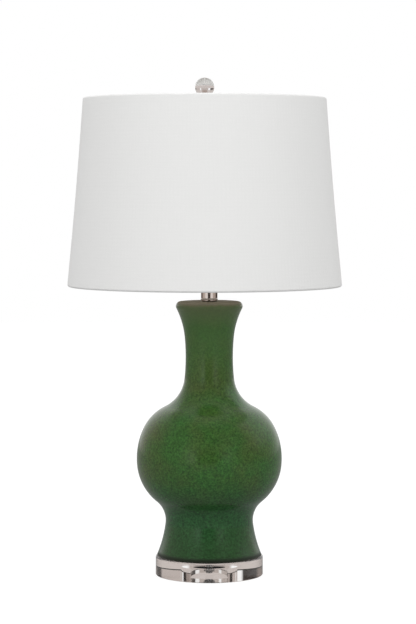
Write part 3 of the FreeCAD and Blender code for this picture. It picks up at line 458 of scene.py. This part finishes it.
def shade_linen(colours):
    """Off-white plain weave, laminated flat: slubs and a faint thread relief, no gloss."""
    material, shader = new_material(
        "plain-weave shade linen",
        Roughness=0.85,
        Sheen_Weight=0.06,
        Sheen_Roughness=0.5,
        Specular_IOR_Level=0.15,
    )
    tree = material.node_tree
    flat = add_node(tree, "UVMap", uv_map="cloth").outputs[0]
    # The threads are 0.45 mm apart. They are drawn 5.7 mm apart, because the real ones are too
    # fine to show, and so faintly that the cloth still looks fine.
    warp, weft = (
        add_node(
            tree,
            "TexWave",
            {"Vector": flat, "Scale": WAVE / (5.655 * MM), "Distortion": 0.6, "Detail": 1.0},
            bands_direction=direction,
        ).outputs["Fac"]
        for direction in "XY"
    )
    weave = add_node(tree, "Math", {0: warp, 1: weft}, operation="MULTIPLY").outputs[0]
    # Slubs 1.4 mm thick, which run on for about 23 mm along the weft and along the warp.
    slubs, ends = (
        add_node(
            tree,
            "TexNoise",
            {
                "Vector": add_node(tree, "Mapping", {"Vector": flat, "Scale": run}).outputs[0],
                "Scale": 1 / (1.4 * MM),
                "Detail": 2.0,
            },
        ).outputs[0]
        for run in ((0.06, 1, 1), (1, 0.06, 1))
    )
    thick = add_node(tree, "Math", {0: slubs, 1: ends}, operation="ADD").outputs[0]
    tone = add_node(
        tree,
        "MapRange",
        {"Value": thick, "From Min": 0.7, "From Max": 1.3, "To Min": 0.988, "To Max": 1.008},
    )
    shadow = add_node(tree, "MapRange", {"Value": weave, "To Min": 0.992, "To Max": 1.0})
    both = add_node(tree, "Math", {0: tone.outputs[0], 1: shadow.outputs[0]}, operation="MULTIPLY")
    dyed = add_node(
        tree, "VectorMath", {0: colours.cloth[:], 3: both.outputs[0]}, operation="SCALE"
    )
    tree.links.new(dyed.outputs[0], shader.inputs["Base Color"])
    relief = add_node(tree, "Math", {0: thick, 1: 0.8, 2: weave}, operation="MULTIPLY_ADD")
    bump = add_node(tree, "Bump", {"Height": relief.outputs[0], "Distance": 0.03 * MM})
    tree.links.new(bump.outputs[0], shader.inputs["Normal"])
    return material


# ------------------------------------------------------------ operators


class LampOperator(bpy.types.Operator):
    bl_options = {"REGISTER", "UNDO"}

    @property
    def details(self):
        return bpy.context.scene.lamp_details

    @property
    def colours(self):
        return bpy.context.scene.lamp_colours


class LAMP_OT_vase(LampOperator):
    """Glaze the vase and finish the bushing in its foot"""

    bl_idname = "lamp.vase"
    bl_label = "Vase"

    def execute(self, context):
        dress("green_glaze", glazed_stoneware(self.colours))
        phenolic = plain_plastic("moulded black phenolic", "#141414", 0.28, 1.5 * MM, 0.006 * MM)
        dress("black_phenolic", phenolic)
        return {"FINISHED"}


class LAMP_OT_base(LampOperator):
    """Finish the clear disc, the rod and the parts that clamp them to the vase"""

    bl_idname = "lamp.base"
    bl_label = "Base"

    def execute(self, context):
        dress("clear_acrylic", clear_solid("polished cast acrylic", "#F7F6F5", 1.49, 0.03))
        # Bright zinc plate over steel: cloudy and a little blue.
        zinc = plain_metal("bright zinc plate", "#B4B6B8", 0.32, 3 * MM)
        dress("zinc_steel", zinc)
        rubber = plain_plastic("black sheet rubber", "#1C1B1A", 0.75, 0.8 * MM, 0.02 * MM)
        dress("black_rubber", rubber)
        self.add_nut("hexagon_nut_base", "base_nut", zinc)
        self.add_nut("hexagon_nut_saddle", "saddle_nut", zinc)
        sizes = self.details
        low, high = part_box("threaded_rod")
        inside = (high.x - low.x) / 2 - sizes.rod_depth
        for name, bottom, top in (
            ("foot", low.z, low.z + sizes.rod_foot),
            ("head", high.z - sizes.rod_head, high.z),
        ):
            thread = swept_thread(inside, sizes.rod_depth, sizes.rod_pitch, bottom, top)
            add_piece(f"rod_{name}_thread", thread, zinc, "lamp", sharp=60)
        return {"FINISHED"}

    def add_nut(self, name, node, material):
        """A chamfered hexagon nut in the place of the plain one."""
        low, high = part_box(node)
        bottom, top = low.z, high.z
        wide, deep = high.x - low.x, high.y - low.y
        side = math.radians(60)
        flat = max(wide, deep) / 2 * math.cos(side / 2)
        offset = 0 if wide > deep else side / 2
        rod_low, rod_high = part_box("threaded_rod")
        clearance = 0.2 * MM
        bore = (rod_high.x - rod_low.x) / 2 + clearance
        chamfer = self.details.nut_chamfer

        def edge(angle):
            return flat / math.cos((angle + offset) % side - side / 2)

        def drop(angle):
            return max(0.0, edge(angle) - flat + chamfer) * math.tan(math.radians(30))

        rings = [
            lambda a: (bore, bottom),
            lambda a: (flat - chamfer, bottom),
            lambda a: (edge(a), bottom + drop(a)),
            lambda a: (edge(a), top - drop(a)),
            lambda a: (flat - chamfer, top),
            lambda a: (bore, top),
            lambda a: (bore, bottom),
        ]
        bm = lofted(rings, 72)
        bmesh.ops.remove_doubles(bm, verts=bm.verts, dist=1e-6)
        bmesh.ops.recalc_face_normals(bm, faces=bm.faces)
        add_piece(name, bm, material, "lamp", (node,), sharp=25)


class LAMP_OT_neck(LampOperator):
    """Polish the nickel parts"""

    bl_idname = "lamp.neck"
    bl_label = "Neck"

    def execute(self, context):
        nickel = polished_nickel(self.colours)
        dress("polished_nickel", nickel)
        self.add_ring(nickel)
        return {"FINISHED"}

    def add_ring(self, material):
        """The spun ring at the tube's foot: a bead between an undercut and a groove."""
        low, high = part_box("neck_ring")
        rim, foot, top = (high.x - low.x) / 2, low.z, high.z
        clearance = 0.25 * MM
        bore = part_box("threaded_rod")[1].x + clearance
        profile = [(bore, foot), (rim - 0.3 * MM, foot), (rim - 0.3 * MM, foot + 0.4 * MM)]
        profile += [(rim - 1.1 * MM, foot + 0.7 * MM), (rim - 1.1 * MM, foot + 1.3 * MM)]
        profile += arc((rim - 0.9 * MM, foot + 2.2 * MM), 0.9 * MM, -80, 80, 10)
        profile += [(rim - 1.2 * MM, top - 0.8 * MM), (rim - 1.2 * MM, top - 0.2 * MM)]
        profile += [(rim - 1.0 * MM, top), (bore, top)]
        bm = turned(profile)
        add_piece("spun_neck_ring", bm, material, "lamp", ("neck_ring",))


class LAMP_OT_harp(LampOperator):
    """Finish the harp and its saddle, and add the ferrules' beads and the stud's thread"""

    bl_idname = "lamp.harp"
    bl_label = "Harp"

    def execute(self, context):
        # Satin nickel over drawn steel wire: fine lines along the wire.
        satin = plain_metal("satin nickel on drawn wire", "#BDB7B0", 0.30, 1.2 * MM, (1, 1, 0.12))
        dress("nickel_wire", satin)
        for node, body in (("front_ferrule", "front_sleeve"), ("back_ferrule", "back_sleeve")):
            self.add_ferrule(node, body, satin)
        self.add_stud_thread(satin)
        return {"FINISHED"}

    def add_ferrule(self, node, body, material):
        """A drawn sleeve with a rolled bead at each end, on the line of the harp's leg."""
        low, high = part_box(node)
        slide = next(joint for joint in frame["joints"] if joint["child"] == body)
        axis = Vector(slide["axis"]).normalized()
        middle = (low + high) / 2
        reach = [vert.co - middle for vert in frame["nodes"][node].data.vertices]
        tall = [point.dot(axis) for point in reach]
        out = [(point - axis * h).length for point, h in zip(reach, tall)]
        bottom, top, bore = min(tall), max(tall), min(out)
        bead = self.details.ferrule_bead
        wall = max(out) - bead
        half = (wall + bead - bore) / 2
        profile = [(bore, bottom + bead), (bore, top - bead)]
        profile += arc((bore + half, top - bead), half, 180, 0, 8)
        profile += [(wall, top - 3.2 * bead), (wall, bottom + 3.2 * bead)]
        profile += arc((bore + half, bottom + bead), half, 0, -180, 8)
        # The rolled ends stay within the length of the plain sleeve.
        profile = [(radius, max(bottom, min(top, h))) for radius, h in profile]
        bm = turned(profile, steps=48)
        upright = UP.rotation_difference(axis).to_matrix().to_4x4()
        bmesh.ops.transform(bm, verts=bm.verts, matrix=Matrix.Translation(middle) @ upright)
        add_piece(f"{node}_beaded", bm, material, body, (node,))

    def add_stud_thread(self, material):
        """The thread on the stud, from the shade's seat to just below its tip."""
        low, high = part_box("harp_stud")
        centre = (low + high) / 2
        radius, seat, tip = 3.15 * MM, 2.6 * MM, 0.8 * MM
        depth, pitch = self.details.stud_depth, self.details.stud_pitch
        thread = swept_thread(radius - depth, depth, pitch, low.z + seat, high.z - tip)
        bmesh.ops.translate(thread, verts=thread.verts, vec=(centre.x, centre.y, 0))
        add_piece("stud_thread", thread, material, "lamp", sharp=60)


class LAMP_OT_lampholder(LampOperator):
    """Finish the lampholder: its rolled thread, bead, liner, contacts and turn knob"""

    bl_idname = "lamp.lampholder"
    bl_label = "Lampholder"

    def execute(self, context):
        fibre = plain_plastic(
            "vulcanised fibre card", "#A08862", 0.8, 1.2 * MM, 0.03 * MM, tint=0.15
        )
        dress("fibre_card", fibre)
        dress("bare_brass", plain_metal("stamped brass", "#D3B574", 0.24, 4 * MM))
        aluminium = plain_metal("rolled aluminium", "#CFCFD1", 0.28, 1.5 * MM, (1, 1, 8))
        dress("bare_aluminium", aluminium)
        self.add_screw_shell(aluminium)
        self.add_shell_bead()
        self.add_knob()
        return {"FINISHED"}

    def add_screw_shell(self, material):
        """Thin sheet rolled to a round thread, with a flat rim and a floor."""
        low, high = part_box("screw_shell")
        outside = (high.x - low.x) / 2
        wave, pitch = self.details.shell_wave, self.details.shell_pitch
        wall, hole = 0.4 * MM, 9.2 * MM
        per_turn, around = 12, 72
        bm = bmesh.new()
        turns = math.ceil((high.z - low.z) / pitch) + 2
        points = []
        for i in range(turns * per_turn + 1):
            height = low.z - pitch + pitch * i / per_turn
            radius = outside - wave / 2 + wave / 2 * math.cos(TURN * i / per_turn)
            points.append(bm.verts.new((radius, 0, height)))
        edges = [bm.edges.new(pair) for pair in zip(points, points[1:])]
        # One turn that rises by the pitch winds the wave up into a thread.
        bmesh.ops.spin(
            bm,
            geom=points + edges,
            cent=(0, 0, 0),
            axis=UP,
            angle=TURN,
            dvec=(0, 0, pitch / around),
            steps=around,
        )
        bmesh.ops.remove_doubles(bm, verts=bm.verts, dist=1e-5)
        for height, away in ((high.z, UP), (low.z + wall, -UP)):
            bmesh.ops.bisect_plane(
                bm,
                geom=bm.verts[:] + bm.edges[:] + bm.faces[:],
                plane_co=(0, 0, height),
                plane_no=away,
                clear_outer=True,
            )
        bmesh.ops.recalc_face_normals(bm, faces=bm.faces)
        mouth = [e for e in bm.edges if e.is_boundary and e.verts[0].co.z < low.z + 2 * wall]
        floor = bmesh.ops.extrude_edge_only(bm, edges=mouth)["geom"]
        for vert in (item for item in floor if isinstance(item, bmesh.types.BMVert)):
            flat = Vector((vert.co.x, vert.co.y, 0)).normalized() * hole
            vert.co = (flat.x, flat.y, low.z + wall)
        bmesh.ops.recalc_face_normals(bm, faces=bm.faces)
        bmesh.ops.solidify(bm, geom=bm.faces[:], thickness=wall)
        add_piece(
            "rolled_screw_shell", bm, material, "lamp", ("screw_shell",), sharp=40
        )

    def add_shell_bead(self):
        """The rolled bead just under the mouth of the nickel shell."""
        low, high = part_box("socket_shell")
        radius = (high.x - low.x) / 2
        bead, level = self.details.shell_bead, high.z - 5 * MM
        inside = radius - bead * 0.6
        profile = arc((radius - bead * 0.4, level), bead * 1.4, -90, 90, 10)
        profile += [(inside, level + bead), (inside, level - bead)]
        nickel = bpy.data.materials["polished nickel plate"]
        add_piece("socket_shell_bead", turned(profile), nickel, "lamp")

    def add_knob(self):
        """A fluted knob with a domed face, turned towards +X."""
        low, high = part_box("switch_knob")
        centre = (low + high) / 2
        radius, tall = (high.z - low.z) / 2, high.x - low.x
        flutes, depth = self.details.knob_flutes, self.details.flute_depth
        bore, deep = 2.05 * MM, 5.9 * MM

        def fluted(share, height):
            def ring(angle):
                groove = depth * max(0.0, math.cos(flutes * angle)) ** 2
                return ((radius - groove) * share, height)

            return ring

        def plain(size, height):
            return lambda angle: (size, height)

        rings = [
            plain(bore, 0),
            plain(radius * 0.80, 0),
            plain(radius * 0.86, 0.4 * MM),
            plain(radius * 0.86, 1.4 * MM),
            fluted(0.96, 2.0 * MM),
            fluted(1.0, 2.6 * MM),
            fluted(1.0, tall - 1.6 * MM),
            fluted(0.96, tall - 0.8 * MM),
            plain(radius * 0.86, tall - 0.3 * MM),
            plain(radius * 0.6, tall - 0.1 * MM),
            plain(radius * 0.2, tall),
            plain(0, tall),
        ]
        bm = lofted(rings, 144)
        mouth = [e for e in bm.edges if e.is_boundary and e.verts[0].co.z < 0.1 * MM]
        blind = bmesh.ops.extrude_edge_only(bm, edges=mouth)["geom"]
        for vert in (item for item in blind if isinstance(item, bmesh.types.BMVert)):
            vert.co.z += deep
        end = [e for e in bm.edges if e.is_boundary and e.verts[0].co.z > 0.9 * deep]
        bmesh.ops.contextual_create(bm, geom=end)
        bmesh.ops.remove_doubles(bm, verts=bm.verts, dist=1e-6)
        bmesh.ops.recalc_face_normals(bm, faces=bm.faces)
        sideways = Matrix.Rotation(math.radians(90), 4, "Y")
        matrix = Matrix.Translation((low.x, centre.y, centre.z)) @ sideways
        bmesh.ops.transform(bm, verts=bm.verts, matrix=matrix)
        phenolic = bpy.data.materials["moulded black phenolic"]
        add_piece("fluted_knob", bm, phenolic, "switch", ("switch_knob",))


class LAMP_OT_shade(LampOperator):
    """Cover the shade in cloth with a lapped seam, roll its edges and paint its wires"""

    bl_idname = "lamp.shade"
    bl_label = "Shade"

    def execute(self, context):
        linen = shade_linen(self.colours)
        dress("shade_cloth", linen)
        styrene = plain_plastic(
            "matt white styrene sheet", "#F0EFEC", 0.55, 4 * MM, 0.02 * MM, tint=0.01
        )
        dress("shade_styrene", styrene)
        enamel = plain_plastic(
            "white stove enamel", "#E6E5E0", 0.25, 1.5 * MM, 0.02 * MM, tint=0.03
        )
        dress("white_wire", enamel)
        self.add_liner(styrene)
        cover = self.add_cover(linen)
        rolls = [self.add_roll(node, linen) for node in ("top_trim", "bottom_trim")]
        # The cloth is cut as a flat ring sector that is rolled up to the shade's cone.
        return {"FINISHED"}

    def unroll(self, bm, centre, radius):
        """Lay the cloth's own map round the shade, in metres, with its jump at the seam."""
        layer = bm.loops.layers.uv.new("cloth")
        for face in bm.faces:
            middle = face.calc_center_median()
            turn = math.atan2(middle.y - centre.y, middle.x - centre.x)
            for loop in face.loops:
                point = loop.vert.co
                angle = math.atan2(point.y - centre.y, point.x - centre.x)
                angle = turn + (angle - turn + math.pi) % TURN - math.pi
                loop[layer].uv = (angle * radius, point.z)

    def cone_wall(self, node, wall, spans):
        """A closed conical wall in the node's place, turned in the given spans of angle."""
        low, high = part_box(node)
        centre = (low + high) / 2
        wide = (high.x - low.x) / 2
        rim = [v.co for v in frame["nodes"][node].data.vertices if v.co.z > high.z - 0.5 * MM]
        narrow = max(math.hypot(point.x - centre.x, point.y - centre.y) for point in rim)
        rows = 24
        outside = [
            (wide + (narrow - wide) * i / rows, low.z + (high.z - low.z) * i / rows)
            for i in range(rows + 1)
        ]
        inside = [(radius - wall, height) for radius, height in reversed(outside)]
        bm = bmesh.new()
        points = [bm.verts.new((0, radius, height)) for radius, height in outside + inside]
        geom = points + [bm.edges.new(pair) for pair in zip(points, points[1:] + points[:1])]
        for span, count in spans:
            geom = bmesh.ops.spin(
                bm, geom=geom, cent=(0, 0, 0), axis=UP, angle=span, steps=count, use_merge=False
            )["geom_last"]
        bmesh.ops.remove_doubles(bm, verts=bm.verts, dist=0.1 * MM)
        bmesh.ops.recalc_face_normals(bm, faces=bm.faces)
        return bm, centre, low.z, high.z, wide, narrow

    def add_cover(self, material):
        """The cloth, a little waisted, with its free end lapped over the start at the back."""
        lap = self.details.seam_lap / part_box("shade_cover")[1].y
        spans = [(lap, 10), (TURN - 2 * lap, 236), (lap, 10)]
        wall = self.details.cloth_wall
        bm, centre, bottom, top, wide, narrow = self.cone_wall("shade_cover", wall, spans)
        rise, wave = self.details.seam_rise, self.details.cloth_wave
        # How many laps the slope beyond the seam is long, and the waves in a metre of cloth.
        slope, waves = 1.6, 9
        for vert in bm.verts:
            level = Vector((vert.co.x, vert.co.y, 0))
            share = (vert.co.z - bottom) / (top - bottom)
            lift = -self.details.waist * math.sin(math.pi * share)
            if level.length > wide + (narrow - wide) * share - wall / 2:
                uneven = 0.5 + 0.5 * noise.noise(vert.co * waves)
                lift += wave * uneven * math.sin(math.pi * share)
                # The free end stands proud, and beyond it the cloth slopes back.
                past = (math.atan2(-vert.co.x, vert.co.y) % TURN) / lap
                if past < 1.0:
                    lift += rise
                elif past < 1.0 + slope:
                    lift += rise * (1 - (past - 1) / slope) ** 2
            vert.co += level.normalized() * lift
        bmesh.ops.translate(bm, verts=bm.verts, vec=(centre.x, centre.y, 0))
        self.unroll(bm, centre, (wide + narrow) / 2)
        return add_piece(
            "cloth_cover", bm, material, "shade", ("shade_cover",), sharp=50
        )

    def add_liner(self, material):
        """The stiff white sheet behind the cloth, waisted with it."""
        wall = self.details.liner_wall
        bm, centre, bottom, top, *_ = self.cone_wall("shade_liner", wall, [(TURN, 192)])
        for vert in bm.verts:
            share = (vert.co.z - bottom) / (top - bottom)
            level = Vector((vert.co.x, vert.co.y, 0)).normalized()
            vert.co -= level * self.details.waist * math.sin(math.pi * share)
        bmesh.ops.translate(bm, verts=bm.verts, vec=(centre.x, centre.y, 0))
        add_piece("styrene_liner", bm, material, "shade", ("shade_liner",), sharp=50)

    def add_roll(self, node, material):
        """The cloth rolled round a ring and tucked in, taken from the turned solid."""
        bm = bmesh.new()
        bm.from_mesh(frame["nodes"][node].data)
        bmesh.ops.remove_doubles(bm, verts=bm.verts, dist=1e-6)
        low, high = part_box(node)
        centre = (low + high) / 2
        self.unroll(bm, centre, (high.x - low.x) / 2)
        return add_piece(f"{node}_rolled", bm, material, "shade", (node,), sharp=50)


class LAMP_OT_finial(LampOperator):
    """Finish the finial's clear ball"""

    bl_idname = "lamp.finial"
    bl_label = "Finial"

    def execute(self, context):
        dress("clear_crystal", clear_solid("polished crystal", "#FBFBFC", 1.52, 0.01))
        return {"FINISHED"}


def grey_card(level):
    """The warm grey of the studio's walls, which goes to plain white on the lit cards."""
    warmth = 0.25 * (1 - level)
    return (level, level * (1 - warmth), level * (1 - warmth * 1.5))


class LAMP_OT_stage(LampOperator):
    """Set the pale floor, the soft light and the camera"""

    bl_idname = "lamp.stage"
    bl_label = "Stage"

    def execute(self, context):
        stage = context.scene.lamp_stage
        context.scene.view_settings.view_transform = "Standard"
        self.add_camera(stage)
        self.add_floor(stage)
        self.add_world(stage)
        for side, name in ((-1, "front_left_lamp"), (1, "front_right_lamp")):
            self.add_lamp(name, (side * 1.7, -2.2, 1.3), (1.2, 1.6), stage.front_lamps)
        self.add_lamp("top_lamp", (0, -0.5, 2.4), (1.6, 1.6), stage.top_lamp)
        return {"FINISHED"}

    def add_camera(self, stage):
        """The photograph's view, level but for a slight pitch down."""
        eye = bpy.data.cameras.new("camera")
        eye.lens = stage.camera_lens
        eye.sensor_width = 36
        camera = bpy.data.objects.new("camera", eye)
        camera.location = stage.camera_place
        camera.rotation_euler = (math.radians(90) - stage.camera_pitch, 0, 0)
        bpy.context.scene.collection.objects.link(camera)
        bpy.context.scene.camera = camera

    def add_lamp(self, name, place, size, power):
        """A soft lamp turned to the middle of the part, which nothing mirrors or shows."""
        light = bpy.data.lights.new(name, "AREA")
        light.shape = "RECTANGLE"
        light.size, light.size_y = size
        light.energy = power
        lamp = bpy.data.objects.new(name, light)
        lamp.location = place
        target = Vector((0, 0, 0.35))
        lamp.rotation_euler = (target - Vector(place)).to_track_quat("-Z", "Y").to_euler()
        lamp.visible_glossy = False
        lamp.visible_transmission = False
        lamp.visible_camera = False
        bpy.context.scene.collection.objects.link(lamp)

    def add_floor(self, stage):
        """A pale floor that the camera sees nearly white, with the lamp's soft shade on it."""
        bm = bmesh.new()
        bmesh.ops.create_circle(bm, cap_ends=True, segments=96, radius=stage.floor_radius)
        # The disc's clear underside would share its plane, so the floor lies just below.
        bmesh.ops.translate(bm, verts=bm.verts, vec=(0, 0, -0.3 * MM))
        mesh = bpy.data.meshes.new("floor")
        bm.to_mesh(mesh)
        bm.free()
        material, shader = new_material(
            "matt white floor",
            Base_Color=as_colour(linear("#ABABAB")),
            Roughness=0.9,
            Specular_IOR_Level=0.1,
        )
        tree = material.node_tree
        path = add_node(tree, "LightPath").outputs
        share = add_node(
            tree, "Math", {0: path["Is Camera Ray"], 1: 1 - stage.shadow}, operation="MULTIPLY"
        )
        white = add_node(tree, "Emission", {"Color": (1, 1, 1, 1), "Strength": stage.floor_white})
        both = add_node(
            tree, "MixShader", {0: share.outputs[0], 1: shader.outputs[0], 2: white.outputs[0]}
        )
        # Through the clear disc the floor is the studio's warm grey.
        warm = add_node(tree, "Emission", {"Color": as_colour(grey_card(0.6)), "Strength": 1.0})
        both = add_node(
            tree,
            "MixShader",
            {0: path["Is Transmission Ray"], 1: both.outputs[0], 2: warm.outputs[0]},
        )
        tree.links.new(both.outputs[0], tree.nodes["Material Output"].inputs["Surface"])
        mesh.materials.append(material)
        floor = bpy.data.objects.new("floor", mesh)
        bpy.context.scene.collection.objects.link(floor)

    def add_world(self, stage):
        """An even sky for the light, and a room of grey cards that gloss and clear pieces show."""
        world = bpy.data.worlds.new("studio")
        world.use_nodes = True
        bpy.context.scene.world = world
        tree = world.node_tree
        path = add_node(tree, "LightPath").outputs
        sky = tree.nodes["Background"]
        sky.inputs["Color"].default_value = (1, 1, 1, 1)
        sky.inputs["Strength"].default_value = stage.sky
        towards = add_node(tree, "TexCoord").outputs["Generated"]
        parts = add_node(tree, "SeparateXYZ", {"Vector": towards}).outputs
        ahead = add_node(tree, "Math", {0: parts["Y"], 1: -1.0}, operation="MULTIPLY")
        bearing = add_node(
            tree, "Math", {0: parts["X"], 1: ahead.outputs[0]}, operation="ARCTAN2"
        ).outputs[0]
        share = add_node(
            tree, "MapRange", {"Value": bearing, "From Min": -math.pi, "From Max": math.pi}
        ).outputs[0]
        # Cards round the lamp: the bearing of each in degrees from the camera's side, to the
        # right, and how bright it is. The low ring stands, and the high one leans in above it.
        low_cards = [
            (-180, 1.0), (-158, 1.0), (-146, 0.85), (-132, 0.75), (-118, 0.55), (-100, 0.48),
            (-60, 0.50), (-38, 0.55), (-34, 0.95), (-24, 0.95), (-18, 0.04), (12, 0.04), (18, 0.40),
            (24, 0.75), (34, 0.75), (38, 0.36), (60, 0.30), (100, 0.50), (118, 0.62), (132, 0.78),
            (146, 0.88), (158, 1.0), (180, 1.0),
        ]  # fmt: skip
        high_cards = [
            (-180, 1.0), (-150, 1.0), (-132, 0.85), (-118, 0.65), (-98, 0.58), (-60, 0.42),
            (-30, 0.40), (0, 0.22), (30, 0.32), (60, 0.34), (78, 0.60), (94, 1.0), (118, 1.0),
            (180, 1.0),
        ]  # fmt: skip
        # A narrow strip just below the horizon, which only upright polished metal mirrors whole.
        strip_cards = [
            (-180, 0.60), (-150, 0.60), (-145, 0.03), (-118, 0.03), (-112, 0.28), (-95, 0.55),
            (-62, 0.68), (-52, 1.0), (-24, 1.0), (-17, 0.04), (9, 0.04), (15, 0.50), (22, 1.0),
            (46, 1.0), (54, 0.62), (70, 0.50), (92, 0.55), (100, 0.30), (106, 0.03), (140, 0.03),
            (150, 0.60), (180, 0.60),
        ]  # fmt: skip
        # What the clear pieces bend into view from just above the horizon.
        bent_cards = [
            (-180, 0.50), (-165, 0.50), (-163.5, 1.0), (-154, 1.0), (-152, 0.03), (-131, 0.03),
            (-122, 0.30), (-104, 0.32), (-96, 0.46), (-62, 0.46), (-52, 1.0), (-24, 1.0),
            (-18, 0.02), (12, 0.02), (18, 0.40), (27, 1.0), (50, 1.0), (60, 0.42), (106, 0.42),
            (111, 0.03), (125, 0.03), (130, 0.50), (158, 0.52), (160, 1.0), (164, 1.0), (166, 0.50),
            (180, 0.50),
        ]  # fmt: skip
        low, high, strip, bent = (
            add_node(
                tree,
                "ValToRGB",
                {"Fac": share},
                stops=[((turn + 180) / 360, grey_card(level)) for turn, level in cards],
            ).outputs[0]
            for cards in (low_cards, high_cards, strip_cards, bent_cards)
        )
        # Where each ring fades in or out, by the upward part of the direction looked in.
        leaning, ceiling, bent_foot, bent_top, strip_foot, strip_top = (
            add_node(
                tree,
                "MapRange",
                {"Value": parts["Z"], "From Min": start, "From Max": stop},
                interpolation_type="SMOOTHSTEP",
            ).outputs[0]
            for start, stop in (
                (0.12, 0.40), (0.86, 0.97), (0.09, 0.13), (0.32, 0.20),
                (-0.075, -0.062), (-0.026, -0.038),
            )  # fmt: skip
        )
        in_strip, in_bent = (
            add_node(tree, "Math", {0: foot, 1: top}, operation="MULTIPLY").outputs[0]
            for foot, top in ((strip_foot, strip_top), (bent_foot, bent_top))
        )
        overhead = as_colour(grey_card(0.6))
        mirrored = low
        for factor, cards in ((leaning, high), (in_strip, strip), (ceiling, overhead)):
            mirrored = add_node(
                tree, "Mix", {0: factor, 6: mirrored, 7: cards}, data_type="RGBA"
            ).outputs[2]
        # Clear pieces bend the plain grey of the walls everywhere else.
        bent = add_node(tree, "Mix", {0: in_bent, 6: overhead, 7: bent}, data_type="RGBA").outputs[2]
        through = path["Is Transmission Ray"]
        room = add_node(tree, "Mix", {0: through, 6: mirrored, 7: bent}, data_type="RGBA").outputs[2]
        reflected = add_node(tree, "Background", {"Color": room, "Strength": 1.0})
        white = add_node(tree, "Background", {"Color": (1, 1, 1, 1), "Strength": 1.0})
        mirror = add_node(tree, "Math", {0: path["Is Glossy Ray"], 1: through}, operation="MAXIMUM")
        lit = add_node(
            tree, "MixShader", {0: mirror.outputs[0], 1: sky.outputs[0], 2: reflected.outputs[0]}
        )
        seen = add_node(
            tree, "MixShader", {0: path["Is Camera Ray"], 1: lit.outputs[0], 2: white.outputs[0]}
        )
        tree.links.new(seen.outputs[0], tree.nodes["World Output"].inputs["Surface"])


class LAMP_PT_panel(bpy.types.Panel):
    """The lamp's pieces and their sizes and colours"""

    bl_idname = "LAMP_PT_panel"
    bl_label = "Vase Lamp"
    bl_space_type = "VIEW_3D"
    bl_region_type = "UI"
    bl_category = "Lamp"

    def draw(self, context):
        for group in ("lamp_details", "lamp_colours", "lamp_stage"):
            box = self.layout.box()
            settings = getattr(context.scene, group)
            for name in settings.__annotations__:
                box.prop(settings, name)
        for operator in OPERATORS:
            self.layout.operator(operator.bl_idname)


GROUPS = {"lamp_details": LampDetails, "lamp_colours": LampColours, "lamp_stage": LampStage}
OPERATORS = [
    LAMP_OT_vase,
    LAMP_OT_base,
    LAMP_OT_neck,
    LAMP_OT_harp,
    LAMP_OT_lampholder,
    LAMP_OT_shade,
    LAMP_OT_finial,
    LAMP_OT_stage,
]


def register():
    for cls in (*GROUPS.values(), *OPERATORS, LAMP_PT_panel):
        bpy.utils.register_class(cls)
    for name, group in GROUPS.items():
        setattr(bpy.types.Scene, name, PointerProperty(type=group))


def unregister():
    for name in GROUPS:
        delattr(bpy.types.Scene, name)
    for cls in (LAMP_PT_panel, *reversed(OPERATORS), *reversed(GROUPS.values())):
        bpy.utils.unregister_class(cls)


def main():
    register()
    for operator in OPERATORS:
        group, name = operator.bl_idname.split(".")
        getattr(getattr(bpy.ops, group), name)()


if __name__ == "__main__":
    main()
